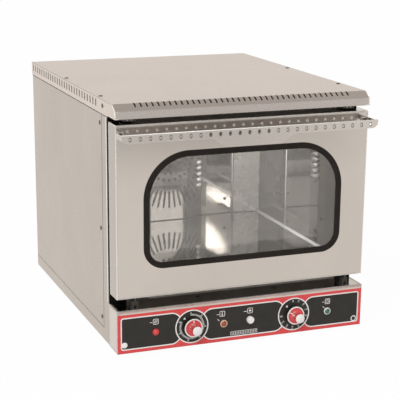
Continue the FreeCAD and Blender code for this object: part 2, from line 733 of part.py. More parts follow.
save("baffle_standoffs", *[cut(standoff, *baffle_screw_holes) for standoff in standoffs])

# Air guides between the baffle and the side walls
guide_inner = CAVITY_HALF - GUIDE_WIDTH
guide_front = BAFFLE - GUIDE_FORWARD
guide = fuse(
    plan_prism(
        [
            (guide_inner, BAFFLE),
            (CAVITY_HALF, guide_front),
            (CAVITY_HALF, guide_front + LINER),
            (guide_inner, BAFFLE + LINER),
        ],
        baffle_low,
        baffle_high,
    ),
    block(
        CAVITY_HALF - LINER,
        CAVITY_HALF,
        guide_front,
        guide_front + GUIDE_FLANGE,
        baffle_low,
        baffle_high,
    ),
)
save("air_guides", mirrored(guide), guide)

# Fan on its shaft
fan_back = WALL - FAN_WALL_GAP
fan_front = fan_back - FAN_DISC - FAN_BLADE_DEPTH
fan_disc = through(0, FAN_H, FAN_RADIUS, fan_back - FAN_DISC, fan_back)
fan_hub = through(0, FAN_H, FAN_HUB_RADIUS, fan_front, fan_back)
blades = []
for number in range(FAN_BLADES):
    blade = block(
        FAN_INNER_RADIUS,
        FAN_RADIUS,
        fan_front,
        fan_back - FAN_DISC,
        FAN_H - FAN_BLADE / 2,
        FAN_H + FAN_BLADE / 2,
    )
    blade.rotate(at(FAN_RADIUS, fan_front, FAN_H), BACKWARD, FAN_BLADE_TURN)
    blade.rotate(at(0, fan_front, FAN_H), BACKWARD, 360 * number / FAN_BLADES)
    blades.append(blade.common(through(0, FAN_H, FAN_RADIUS, fan_front, fan_back)))
shaft_end = MOTOR_FACE + SHAFT_IN_MOTOR
shaft = through(0, FAN_H, SHAFT_RADIUS, fan_front, shaft_end)
save("fan_rotor", cut(fuse(fan_disc, fan_hub, *blades), shaft))
save("motor_shaft", shaft)

# Motor on its bracket behind the cavity
motor_bore = through(0, FAN_H, SHAFT_RADIUS + RUNNING_GAP, MOTOR_FACE, shaft_end + SPINDLE_END_GAP)
motor = through(0, FAN_H, MOTOR_RADIUS, MOTOR_FACE, MOTOR_FACE + MOTOR_LENGTH)
save("fan_motor", cut(motor, motor_bore))
plate_front = MOTOR_FACE - BRACKET_PLATE
plate = block(
    -BRACKET_HALF,
    BRACKET_HALF,
    plate_front,
    MOTOR_FACE,
    FAN_H - BRACKET_HALF,
    FAN_H + BRACKET_HALF,
)
legs = [through(x, h, BRACKET_LEG_RADIUS, wall_back, plate_front) for x, h in bracket_legs]
save("motor_bracket", cut(fuse(plate, *legs), shaft_hole))

# Ring heating element, its two tails bent back through the wall
element_centre = at(0, element_depth, FAN_H)
ring_start = at(element_ring_x, element_depth, element_ring_h)
bend_turn = ELEMENT_BEND * math.sqrt(0.5)


def element_tail(side):
    # From the free end forward to the ring, as a straight leg and a quarter bend.
    ring_end = FreeCAD.Vector(side * ring_start.x, ring_start.y, ring_start.z)
    toward_gap = FreeCAD.Vector(-side * math.cos(element_gap), 0, -math.sin(element_gap))
    bend_end = ring_end + toward_gap * ELEMENT_BEND + BACKWARD * ELEMENT_BEND
    bend_middle = ring_end + toward_gap * bend_turn + BACKWARD * (ELEMENT_BEND - bend_turn)
    free_end = bend_end + BACKWARD * (element_end - element_depth - ELEMENT_BEND)
    return free_end, bend_end, bend_middle, ring_end


right_tail = element_tail(1)
left_tail = element_tail(-1)
ring_top = element_centre + UP * ELEMENT_RADIUS
ring_right = element_centre + ACROSS * ELEMENT_RADIUS
ring_left = element_centre - ACROSS * ELEMENT_RADIUS
element_path = Part.Wire(
    [
        Part.makeLine(right_tail[0], right_tail[1]),
        Part.Arc(right_tail[1], right_tail[2], right_tail[3]).toShape(),
        Part.Arc(right_tail[3], ring_right, ring_top).toShape(),
        Part.Arc(ring_top, ring_left, left_tail[3]).toShape(),
        Part.Arc(left_tail[3], left_tail[2], left_tail[1]).toShape(),
        Part.makeLine(left_tail[1], left_tail[0]),
    ]
)
element_section = Part.Wire([Part.makeCircle(ELEMENT_TUBE, right_tail[0], BACKWARD)])
save("heating_element", element_path.makePipeShell([element_section], True, True))

# Control panel and its printed overlay
panel_openings = []
for x in DIALS:
    panel_openings.append(through(x, DIAL_HEIGHT, SPINDLE_RADIUS + SPINDLE_HOLE_GAP, -OVERLAY, SHEET))
for x in (RED_LAMP_X, AMBER_LAMP_X, GREEN_LAMP_X):
    panel_openings.append(through(x, CONTROL_HEIGHT, LAMP_BODY_RADIUS + PANEL_HOLE_GAP, -OVERLAY, SHEET))
panel_openings.append(
    through(BUTTON_X, BUTTON_HEIGHT, SWITCH_BUSH_RADIUS + PANEL_HOLE_GAP, -OVERLAY, SHEET)
)
panel_inner = HALF - SHEET
panel_shell = cut(
    block(-HALF, HALF, 0, FRAME, 0, PANEL_HEIGHT),
    block(-panel_inner, panel_inner, SHEET, FRAME + SHEET, SHEET, PANEL_HEIGHT - SHEET),
    block(-panel_inner, panel_inner, PANEL_FLANGE, FRAME + SHEET, -SHEET, 2 * SHEET),
)
save("control_panel", cut(panel_shell, *panel_openings, *screw_holes))
overlay_half = HALF - OVERLAY_MARGIN
overlay = block(
    -overlay_half,
    overlay_half,
    -OVERLAY,
    0,
    OVERLAY_MARGIN,
    PANEL_HEIGHT - OVERLAY_TOP_GAP,
)
save("panel_overlay", cut(overlay, *panel_openings))

# Timer and thermostat units, their spindles and knobs
for name, x in zip(("timer", "thermostat"), DIALS):
    spindle_end = SHEET + SPINDLE_IN_UNIT
    unit = block(
        x - UNIT_WIDTH / 2,
        x + UNIT_WIDTH / 2,
        SHEET,
        SHEET + UNIT_DEPTH,
        DIAL_HEIGHT - UNIT_WIDTH / 2,
        DIAL_HEIGHT + UNIT_WIDTH / 2,
    )
    unit_bore = through(x, DIAL_HEIGHT, SPINDLE_RADIUS + RUNNING_GAP, SHEET, spindle_end + SPINDLE_END_GAP)
    save(name + "_unit", cut(unit, unit_bore))
    spindle = through(x, DIAL_HEIGHT, SPINDLE_RADIUS, KNOB_BACK - SPINDLE_IN_KNOB, spindle_end)
    save(name + "_spindle", spindle)
    skirt = Part.makeCone(
        KNOB_SKIRT_RADIUS,
        KNOB_SKIRT_RADIUS - KNOB_SKIRT_TAPER,
        KNOB_SKIRT,
        at(x, KNOB_BACK, DIAL_HEIGHT),
        -BACKWARD,
    )
    skirt_face = KNOB_BACK - KNOB_SKIRT
    grip = Part.makeCone(
        KNOB_GRIP_RADIUS,
        KNOB_GRIP_RADIUS - KNOB_GRIP_TAPER,
        KNOB_GRIP,
        at(x, skirt_face, DIAL_HEIGHT),
        -BACKWARD,
    )
    grip = round_front(grip, skirt_face - KNOB_GRIP, KNOB_ROUND)
    pointer = block(
        x - KNOB_POINTER_WIDTH / 2,
        x + KNOB_POINTER_WIDTH / 2,
        skirt_face - KNOB_POINTER,
        skirt_face,
        DIAL_HEIGHT,
        DIAL_HEIGHT + KNOB_SKIRT_RADIUS - 2 * KNOB_SKIRT_TAPER,
    )
    save(name + "_knob", cut(fuse(skirt, grip, pointer), spindle))

# Pilot lamps
for name, x in (("red", RED_LAMP_X), ("amber", AMBER_LAMP_X), ("green", GREEN_LAMP_X)):
    lens_face = -OVERLAY - LAMP_HEAD
    ball = (LAMP_DOME_RADIUS**2 + LAMP_DOME**2) / (2 * LAMP_DOME)
    dome_room = through(x, CONTROL_HEIGHT, ball, lens_face - LAMP_DOME, lens_face)
    dome = Part.makeSphere(ball, at(x, lens_face - LAMP_DOME + ball, CONTROL_HEIGHT)).common(dome_room)
    lamp_head = through(x, CONTROL_HEIGHT, LAMP_HEAD_RADIUS, lens_face, -OVERLAY)
    lamp_body = through(x, CONTROL_HEIGHT, LAMP_BODY_RADIUS, -OVERLAY, LAMP_BODY_LENGTH)
    save(name + "_lamp", fuse(lamp_head, lamp_body, dome))

# Push button in its switch
collar_front = -OVERLAY - BUTTON_COLLAR
collar_floor = -OVERLAY - BUTTON_COLLAR_FLOOR
button_back = collar_floor - BUTTON_REST_GAP - BUTTON_TRAVEL
button_front = button_back - BUTTON_CAP
stem_end = button_back + BUTTON_STEM
button_cap = through(BUTTON_X, BUTTON_HEIGHT, BUTTON_RADIUS, button_front, button_back)
button_cap = round_front(button_cap, button_front, BUTTON_ROUND)
button_stem = through(BUTTON_X, BUTTON_HEIGHT, BUTTON_STEM_RADIUS, button_back, stem_end)
save("push_button", fuse(button_cap, button_stem))
collar_inner = BUTTON_RADIUS + BUTTON_SIDE_GAP
collar = cut(
    through(BUTTON_X, BUTTON_HEIGHT, collar_inner + BUTTON_COLLAR_WALL, collar_front, -OVERLAY),
    through(BUTTON_X, BUTTON_HEIGHT, collar_inner, collar_front, collar_floor),
)
switch_end = SHEET + SWITCH_DEPTH
switch_box = block(
    BUTTON_X - SWITCH_WIDTH / 2,
    BUTTON_X + SWITCH_WIDTH / 2,
    SHEET,
    switch_end,
    BUTTON_HEIGHT - SWITCH_WIDTH / 2,
    BUTTON_HEIGHT + SWITCH_WIDTH / 2,
)
switch_bush = through(BUTTON_X, BUTTON_HEIGHT, SWITCH_BUSH_RADIUS, -OVERLAY, SHEET)
stem_bore = through(
    BUTTON_X,
    BUTTON_HEIGHT,
    BUTTON_STEM_RADIUS + RUNNING_GAP,
    collar_floor,
    switch_end - SWITCH_FLOOR,
)
save("button_switch", cut(fuse(collar, switch_bush, switch_box), stem_bore))

# Door panels, glass and gaskets
arm_outer = DOOR_HALF
handle_screw_h = HANDLE_TOP - HANDLE_ARM_HEIGHT / 2
handle_screw_x = arm_outer - HANDLE_SHEET - (HANDLE_FOOT - HANDLE_SHEET) / 2
handle_screw_places = [
    (side * handle_screw_x, DOOR_FACE - HANDLE_SHEET, handle_screw_h, -BACKWARD) for side in SIDES
]
handle_screw_holes = [screw_hole(*place) for place in handle_screw_places]
skin_back = DOOR_FACE + SHEET
liner_front = DOOR_BACK - SHEET
outer_panel = cut(
    block(-DOOR_HALF, DOOR_HALF, DOOR_FACE, liner_front, DOOR_FOOT, DOOR_TOP),
    block(
        -DOOR_HALF + SHEET,
        DOOR_HALF - SHEET,
        skin_back,
        DOOR_BACK,
        DOOR_FOOT + SHEET,
        DOOR_TOP - SHEET,
    ),
    window_panel(GASKET_LAP, DOOR_FACE, SHEET),
)
save("door_outer_panel", cut(outer_panel, *handle_screw_holes))
nest = SHEET + LAP_GAP
flange_front = liner_front - DOOR_FLANGE
inner_flange = cut(
    block(-DOOR_HALF + nest, DOOR_HALF - nest, flange_front, liner_front, DOOR_FOOT + nest, DOOR_TOP - nest),
    block(
        -DOOR_HALF + nest + SHEET,
        DOOR_HALF - nest - SHEET,
        flange_front,
        liner_front,
        DOOR_FOOT + nest + SHEET,
        DOOR_TOP - nest - SHEET,
    ),
)
inner_plate = cut(
    block(-DOOR_HALF, DOOR_HALF, liner_front, DOOR_BACK, DOOR_FOOT, DOOR_TOP),
    window_panel(-INNER_WINDOW_SPREAD, liner_front, SHEET),
)
save("door_inner_panel", fuse(inner_plate, inner_flange))
gasket_front = DOOR_FACE - GASKET_PROUD
gasket_depth = GASKET_PROUD + SHEET + GASKET_BACK
glass_front = DOOR_FACE + SHEET / 2 - GLASS / 2
glass_inset = GASKET_WIDTH - GLASS_IN_GASKET
outer_glass = window_panel(glass_inset, glass_front, GLASS)
gasket_ring = window_ring(0, GASKET_WIDTH, gasket_front, gasket_depth)
gasket_ring = round_front(gasket_ring, gasket_front, GASKET_ROUND)
skin_lap = window_ring(0, GASKET_LAP, DOOR_FACE, SHEET)
save("window_gasket", cut(gasket_ring, skin_lap, outer_glass))
save("outer_glass", outer_glass)
inner_glass_back = liner_front - INNER_SEAL
inner_glass_spread = INNER_WINDOW_SPREAD + INNER_GLASS_LAP
save("inner_glass", window_panel(-inner_glass_spread, inner_glass_back - GLASS, GLASS))
inner_seal_spread = INNER_WINDOW_SPREAD + INNER_SEAL_SETBACK
save(
    "inner_glass_seal",
    window_ring(-inner_seal_spread - INNER_SEAL_WIDTH, -inner_seal_spread, inner_glass_back, INNER_SEAL),
)

# Handle: a perforated strip hung low in the middle, on an arm and a foot at each end
strip_low = HANDLE_TOP - HANDLE_END_HEIGHT
belly_low = HANDLE_TOP - HANDLE_MIDDLE_HEIGHT
sweep_drop = HANDLE_MIDDLE_HEIGHT - HANDLE_END_HEIGHT
sweep_end = HANDLE_MIDDLE_HALF + HANDLE_SWEEP
sweep_radius = (HANDLE_SWEEP**2 + sweep_drop**2) / (4 * sweep_drop)
sweep_turn = math.degrees(2 * math.atan2(sweep_drop, HANDLE_SWEEP))
corner_x = HALF - HANDLE_CORNER
corner_h = strip_low + HANDLE_CORNER
top_round = HANDLE_SHEET / 2
top_x = HALF - top_round
top_h = HANDLE_TOP - top_round
strip_outline = [
    arc(-HANDLE_MIDDLE_HALF, belly_low + sweep_radius, sweep_radius, 270 - sweep_turn, 270, HANDLE_FRONT),
    arc(HANDLE_MIDDLE_HALF, belly_low + sweep_radius, sweep_radius, -90, -90 + sweep_turn, HANDLE_FRONT),
    arc(sweep_end, strip_low - sweep_radius, sweep_radius, 90 + sweep_turn, 90, HANDLE_FRONT),
    arc(corner_x, corner_h, HANDLE_CORNER, -90, 0, HANDLE_FRONT),
    arc(top_x, top_h, top_round, 0, 90, HANDLE_FRONT),
    arc(-top_x, top_h, top_round, 90, 180, HANDLE_FRONT),
    arc(-corner_x, corner_h, HANDLE_CORNER, 180, 270, HANDLE_FRONT),
    arc(-sweep_end, strip_low - sweep_radius, sweep_radius, 90, 90 - sweep_turn, HANDLE_FRONT),
]
strip = closed_prism(strip_outline, HANDLE_SHEET)
hole_step = (WIDTH - 2 * HANDLE_HOLE_MARGIN) / (HANDLE_HOLE_COUNT - 1)
handle_cuts = []
strip_back = HANDLE_FRONT + HANDLE_SHEET
for number in range(HANDLE_HOLE_COUNT):
    x = HANDLE_HOLE_MARGIN - HALF + number * hole_step
    hole_h = HANDLE_TOP - HANDLE_HOLE_DROP
    handle_cuts.append(through(x, hole_h, HANDLE_HOLE_RADIUS, HANDLE_FRONT, strip_back))
arm_low = HANDLE_TOP - HANDLE_ARM_HEIGHT
arm_inner = arm_outer - HANDLE_SHEET
foot_inner = arm_outer - HANDLE_FOOT
foot_front = DOOR_FACE - HANDLE_SHEET
arm_parts = []
for side in SIDES:
    arm_left = min(side * arm_inner, side * arm_outer)
    foot_left = min(side * foot_inner, side * arm_outer)
    arm_hole_d = (strip_back + foot_front) / 2
    arm = block(arm_left, arm_left + HANDLE_SHEET, HANDLE_FRONT, DOOR_FACE, arm_low, HANDLE_TOP - top_round)
    arm_hole = rod(arm_left, arm_hole_d, handle_screw_h, HANDLE_HOLE_RADIUS, HANDLE_SHEET, ACROSS)
    arm_parts.append(cut(arm, arm_hole))
    arm_parts.append(
        block(foot_left, foot_left + HANDLE_FOOT, foot_front, DOOR_FACE, arm_low, HANDLE_TOP - top_round)
    )
handle = fuse(cut(strip, *handle_cuts), *arm_parts)
save("door_handle", cut(handle, *handle_screw_holes))
save("handle_screws", *[screw(*place) for place in handle_screw_places])

# Hinges: a leaf under the door between two lugs that carry the pin
hinge_inner = HINGE_X - HINGE_LEAF / 2
hinge_outer = HINGE_X + HINGE_LEAF / 2
lug_inner = hinge_inner - HINGE_SIDE_GAP - HINGE_LUG
lug_outer = hinge_outer + HINGE_SIDE_GAP
pin_length = lug_outer + HINGE_LUG - lug_inner
pin = rod(lug_inner, HINGE_D, HINGE_H, HINGE_PIN_RADIUS, pin_length, ACROSS)
save("hinge_pins", mirrored(pin), pin)
leaf_front = HINGE_D - HINGE_EYE_RADIUS
leaf_bore = rod(hinge_inner, HINGE_D, HINGE_H, HINGE_PIN_RADIUS + RUNNING_GAP, HINGE_LEAF, ACROSS)
leaf = cut(
    fuse(
        rod(hinge_inner, HINGE_D, HINGE_H, HINGE_EYE_RADIUS, HINGE_LEAF, ACROSS),
        block(hinge_inner, hinge_outer, leaf_front, HINGE_D + HINGE_LEAF_LENGTH, HINGE_H, DOOR_FOOT),
    ),
    leaf_bore,
)
save("hinge_leaves", mirrored(leaf), leaf)
bracket_parts = [
    block(
        lug_inner,
        lug_outer + HINGE_LUG,
        leaf_front,
        leaf_front + HINGE_BASE_LENGTH,
        PANEL_HEIGHT,
        PANEL_HEIGHT + HINGE_BASE,
    )
]
for x in (lug_inner, lug_outer):
    bracket_parts.append(rod(x, HINGE_D, HINGE_H, HINGE_EYE_RADIUS, HINGE_LUG, ACROSS))
    lug_back = HINGE_D + HINGE_EYE_RADIUS
    bracket_parts.append(block(x, x + HINGE_LUG, leaf_front, lug_back, PANEL_HEIGHT, HINGE_H))
bracket = cut(fuse(*bracket_parts), pin)
save("hinge_brackets", mirrored(bracket), bracket)
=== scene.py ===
import math

import bmesh
import bpy
from mathutils import Matrix, Vector


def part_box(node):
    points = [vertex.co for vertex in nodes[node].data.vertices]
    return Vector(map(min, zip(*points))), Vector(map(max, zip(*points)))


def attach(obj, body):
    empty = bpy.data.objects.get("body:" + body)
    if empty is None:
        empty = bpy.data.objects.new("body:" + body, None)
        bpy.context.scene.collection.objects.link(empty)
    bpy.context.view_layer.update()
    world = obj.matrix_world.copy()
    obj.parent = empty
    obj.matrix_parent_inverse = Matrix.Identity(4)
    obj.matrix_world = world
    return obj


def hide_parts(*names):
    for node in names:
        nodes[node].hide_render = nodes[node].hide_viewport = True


# Looks for a convection pastry oven. Places come from the frame. Sizes are in millimetres where no comment
# says otherwise.
MM = 0.001

# Camera that takes the photograph's view, in metres and degrees
CAMERA_PLACE = (-1.0513, -2.7787, 0.9926)
CAMERA_AZIMUTH = -20.863
CAMERA_ELEVATION = 15.786
CAMERA_ROLL = 0.416
CAMERA_LENS = 110.63
CAMERA_SENSOR = 36.0
CAMERA_SHIFT = (0.02, 0.10)
CAMERA_REACH = 100.0

# Light and floor, in metres and degrees
SUN_TURN = (38.0, -14.0, -28.0)
SUN_STRENGTH = 1.25
SUN_SPREAD = 45.0
SOFTBOX_AIM = (0.0, 0.0, 0.25)
SOFTBOXES = {  # place, size, roll, power
    "key_softbox": ((-1.6, -2.6, 2.6), (1.8, 1.3), 0.0, 22.0),
    "fill_softbox": ((1.25, -3.2, 1.25), (1.8, 1.3), 0.0, 5.0),
    "low_strip": ((-0.885, -2.860, 0.933), (0.24, 0.066), -29.0, 0.30),
    "high_strip": ((-0.8175, -2.813, 1.174), (0.28, 0.11), -62.0, 0.60),
}
CAVITY_LAMP = ((0.0, -0.12, 0.44), 0.04, 5.0)  # place, radius, power
SKY_RAMP = (0.05, 0.95)
ZENITH_LEVEL = 0.38
FRONT_RANGE = (-0.8, -0.35)
FRONT_LEVEL = 0.5
MIRRORED_TINT = (1.0, 0.945, 0.885)
FLOOR_SIZE = 40.0
FLOOR_COLOUR = 0.82
FLOOR_SPECKLE = 0.02
FLOOR_WHITE_SHARE = 0.97
FLOOR_PATCH = (0.72, -3.0)
FLOOR_PATCH_RADIUS = 1.3
FLOOR_PATCH_LEVEL = 0.66

# Shader nodes: the noise and the span of it that is used, the least cosine of a face that faces an axis, the
# cosines between which a fold's painted highlight grows, and the scale of tones and strength of bumps
NOISE_DETAIL = 4.0
NOISE_ROUGHNESS = 0.55
NOISE_SPAN = (0.3, 0.7)
FACING = 0.9
FOLD_TURN = (0.99, 0.93)
STEEL_TONES = 5.0
STEEL_BUMP = 0.25
SKIN_TONES = 40.0
SKIN_BUMP = 0.3
EDGE_SAMPLES = 6
FOLD_HIGHLIGHT_SAMPLES = 8

# Window panes: index of refraction, and the share of their surface, the rest lets light pass straight
PANE_INDEX = 1.6
PANE_ALPHA = 0.95

# Sheet metal: rounding of the outer folds, their painted highlight, and parts with another roughness or a
# darker tone
FOLD_RADIUS = 2.2
DOOR_FOLD = 5.0
PANEL_FOLD = 9.0
FOLD_HIGHLIGHT_RADIUS = 3.2
FOLD_HIGHLIGHT_TONE = (0.98, 0.97, 0.95)
COVER_CORNER = (292.0, -290.0)
DULL_METALLIC = 0.35
DULL_ROUGHNESS = 0.6
SLOPE_ROUGHNESS = 0.36
BAFFLE_FLAT = 50.0
BAFFLE_FOLD = 98.0
WALL_JOINT = -7.0
WALL_FRONT = -195.0
FLOOR_FRONT = -128.0

# Print on the control panel: heights above the casing's base, layers in front of the film
PRINT_LAYER = 0.04
SIGN_LAYER = 3
SCALE_LAYER = 5
ISLAND_LOW = 8.0
ISLAND_HIGH = 83.5
ISLAND_MARGIN = 7.0
ISLAND_CORNER = 6.0
ISLAND_DIAL_CORNER = 25.0
ISLAND_TO_DIAL = 24.0
OUTLINE = 2.7
DIAL_RADIUS = 39.6
DIAL_HOLE = 5.4
PLAIN_BAR = (-32.0, 34.0, 13.0, 21.5)  # left, right, low, high
PLAIN_BAR_LINE = 1.0
PLAIN_BAR_CORNERS = (1.5, 0.8)
PLAIN_BAR_MARKS = 15
PLAIN_BAR_MARK = (1.8, 1.7)  # half height, width
RING_MARK = (281.5, 17.0, 7.0)  # place, radius
RING_MARK_LINE = 2.2
PLUG = (-284.0, 20.0, 6.8)  # place, radius
PLUG_PROFILE = ((1, 0), (0.98, 0.7), (0.85, 1.3), (0.5, 1.6), (0.1, 1.7))

# Dials
SCALE_TEXT = 5.6
SCALE_TEXT_RADIUS = 32.0
SCALE_START = 95.0
ZERO_MARK_TURN = 131.0
ZERO_MARK_SPREAD = 6.0
ZERO_MARK_RADIUS = 26.0
ZERO_MARK_SIZE = 3.0
TICK_INNER = 25.6
TICK_OUTER = 30.0
TICK_WIDTH = 1.4
TIMER_SWEEP = 300.0
TIMER_STEPS = range(0, 121, 20)
TIMER_TICKS = 48
THERMOSTAT_SWEEP = 270.0
THERMOSTAT_STEPS = range(50, 301, 25)

# Signs above the lamps and the button, drawn from the middle of each sign
ICON_SIZE = 13.0
ICON_HEIGHT = 67.0
ICON_LINE = 1.2
ICON_CORNERS = (2.4, 1.2)
LEAD_DROP = 1.0
SIGNS = {  # shift to the left, start and end of the lead before the frame, tick towards the lamp
    "red_lamp": (0.0, 7.0, 2.0, False),
    "amber_lamp": (4.0, 7.0, 2.0, True),
    "push_button": (0.0, 9.0, 0.0, False),
    "green_lamp": (0.0, 7.0, 2.0, True),
}
LAMP_TICK = (-11.5, 12.5, -7.0, 7.5)
SIGN_STROKES = {  # both ends and the width
    "red_lamp": [(-3.2, -3.6, -2.0, 3.6, 1.1), (-0.6, -3.6, 0.6, 3.6, 1.1), (2.0, -3.6, 3.2, 3.6, 1.1)],
    "amber_lamp": [(0.0, -2.6, 0.0, 4.0, 1.6)],
    "push_button": [],
    "green_lamp": [(0.0, 0.0, 0.0, 2.8, 0.9), (0.0, 0.0, 2.2, 0.0, 0.9)],
}
BULB = (2.6, 1.9)  # drop, radius
BULB_STEPS = 32
STAR = (4.6, 1.7)
STAR_POINTS = 8
CLOCK = (4.2, 3.3)
CLOCK_STEPS = 48

# Knobs: black skirt, white rim, red face, fluted grey grip with a white end as a painted reflection of its
# chrome end, as radius, height, material
KNOB_PROFILE = [
    (19.4, 0.0, 0), (21.0, 0.4, 0), (20.9, 1.4, 0), (20.9, 10.0, 0),
    (21.5, 10.4, 1), (21.4, 11.6, 1), (20.9, 12.0, 1), (19.0, 12.0, 1),
    (18.7, 11.5, 2), (11.4, 11.5, 2),
    (10.9, 12.2, 3), (10.8, 14.0, 3), (10.6, 33.0, 3),
    (10.8, 33.4, 4), (10.7, 35.2, 4), (10.2, 36.0, 4), (3.0, 36.0, 4),
]
KNOB_STEPS = 120
FLUTES = 10
FLUTE_DEPTH = 0.13
FLUTE_SPAN = (13.0, 33.2)
POINTER_TURNS = {"timer": 90.0, "thermostat": 150.0}
POINTER_SPAN = (11.6, 17.4)
POINTER_WIDTH = 2.0
POINTER_HEIGHTS = (12.1, 11.4)
BEZEL_PROFILE = [(1.0, 0.0), (0.99, 1.2), (0.94, 2.1), (0.86, 2.4), (0.77, 2.3), (0.75, 2.05)]
BEZEL_STEPS = 64

# Screws and rivets
WELD = 0.001
SCREW_HEAD = 5.2
SCREW_PROFILE = ((1.0, 0.0), (1.0, 0.35), (0.9, 0.75), (0.66, 1.1), (0.3, 1.3))
SCREW_RISE = 1.4
SCREW_STEPS = 32
RECESS = (1.34, 2.4, 0.5)  # height, half length, half width
RIVET_PITCH = 8.5
RIVET_PROFILE = ((1.7, -0.2), (1.7, 0.2), (1.3, 0.7), (0.6, 1.0), (0.1, 1.05))
RIVET_STEPS = 24

# Seams, folds and rims on the casing, the handle and the door: dark strips and rings of painted shade, and
# near-white strips of painted highlight
STRIP = 0.1
SEAM_WIDTH = 1.3
FLANGE_SEAM = 3.2
POST_SHADE_BAND = 9.0
POST_HIGHLIGHT_BAND = 6.0
BEAD_STEPS = 12
CORNER_BEAD = 0.9
CHAMFER = (21.6, 13.0)
LIP_DROP = 30.0
TOP_FOLD_SHADE = 1.8
SLOT_COUNT = 27
SLOT_SIZE = (5.5, 16.0)
SLOT_DROP = 5.9
SLOT_BEHIND_SEAM = 37.0
SLOT_BACK_MARGIN = 18.0
SLOT_SHADE = 1.2
FOOT_STRIP = (225.0, 4.5)
FOOT_STRIP_CORNER = 1.0
FOOT_STRIP_DEPTHS = (1.0, 3.0)
HOLE_COUNT = 26
HOLE_MARGIN = 19.0
HOLE_DROP = 9.0
HOLE_RADIUS = 3.2
HOLE_STEPS = 24
HOLE_SHADE = (0.5, 1.9)
HOLE_SHADE_OVERLAP = 0.1
HOLE_SHADE_DEPTHS = (-0.15, 0.1)
HEM_RADIUS = 1.1
HEM_END = 1.0
HEM_SINK = 0.2

# Beads, joints and hoods in the cavity
ARC_STEPS = 8
COVE_RADIUS = 5.0
COVE_INSET = 2.0
BEAD_RADIUS = 1.8
BEAD_INSET = 1.5
WALL_JOINT_SIZE = (2.4, 0.8)
BAFFLE_SHEET = 1.0
HOOD_X = 90.0
HOOD_HEIGHTS = (300.0, 285.0, 269.0, 254.0, 239.0)
HOOD_SIZE = (8.5, 5.0, 4.0)
HOOD_TILTS = (0.0, 22.0, 44.0, 66.0, 88.0)
HOOD_STEPS = 24

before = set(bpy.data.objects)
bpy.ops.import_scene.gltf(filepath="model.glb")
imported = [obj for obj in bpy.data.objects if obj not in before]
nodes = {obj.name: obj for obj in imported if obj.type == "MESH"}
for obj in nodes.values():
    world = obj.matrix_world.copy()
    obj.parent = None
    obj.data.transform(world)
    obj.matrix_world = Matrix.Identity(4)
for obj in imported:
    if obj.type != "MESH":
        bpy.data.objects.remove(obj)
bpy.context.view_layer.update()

panel_low, panel_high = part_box("control_panel")
film_low, film_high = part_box("panel_overlay")


def centre_of(node):
    low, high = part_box(node)
    return (low + high) / 2


def add_object(name, data):
    made = bpy.data.objects.new(name, data)
    bpy.context.scene.collection.objects.link(made)
    return made


# Shader helpers


class Nodes:
    """Short calls for making and feeding the nodes of a tree."""

    def __init__(self, tree):
        self.tree = tree

    def feed(self, socket, source):
        """Links a node's output to a socket, or sets the socket to a constant."""
        if isinstance(source, bpy.types.NodeSocket):
            self.tree.links.new(source, socket)
        else:
            socket.default_value = source

    def node(self, kind, inputs=None, **settings):
        made = self.tree.nodes.new(kind)
        for key, value in settings.items():
            setattr(made, key, value)
        for socket, source in (inputs or {}).items():
            self.feed(made.inputs[socket], source)
        return made

    def math(self, operation, *sources):
        return self.node("ShaderNodeMath", dict(enumerate(sources)), operation=operation).outputs["Value"]

    def mix(self, share, first, second, blend=None):
        """Mixes two values or, with a way to blend them, two colours."""
        if blend is None:
            return self.node("ShaderNodeMix", {0: share, 2: first, 3: second}).outputs[0]
        inputs = {0: share, 6: first, 7: second}
        return self.node("ShaderNodeMix", inputs, data_type="RGBA", blend_type=blend).outputs[2]

    def ranged(self, source, span, low=0.0, high=1.0, **settings):
        """Maps a span of the source to the range from low to high."""
        inputs = {"Value": source, "From Min": span[0], "From Max": span[1], "To Min": low, "To Max": high}
        return self.node("ShaderNodeMapRange", inputs, **settings).outputs["Result"]


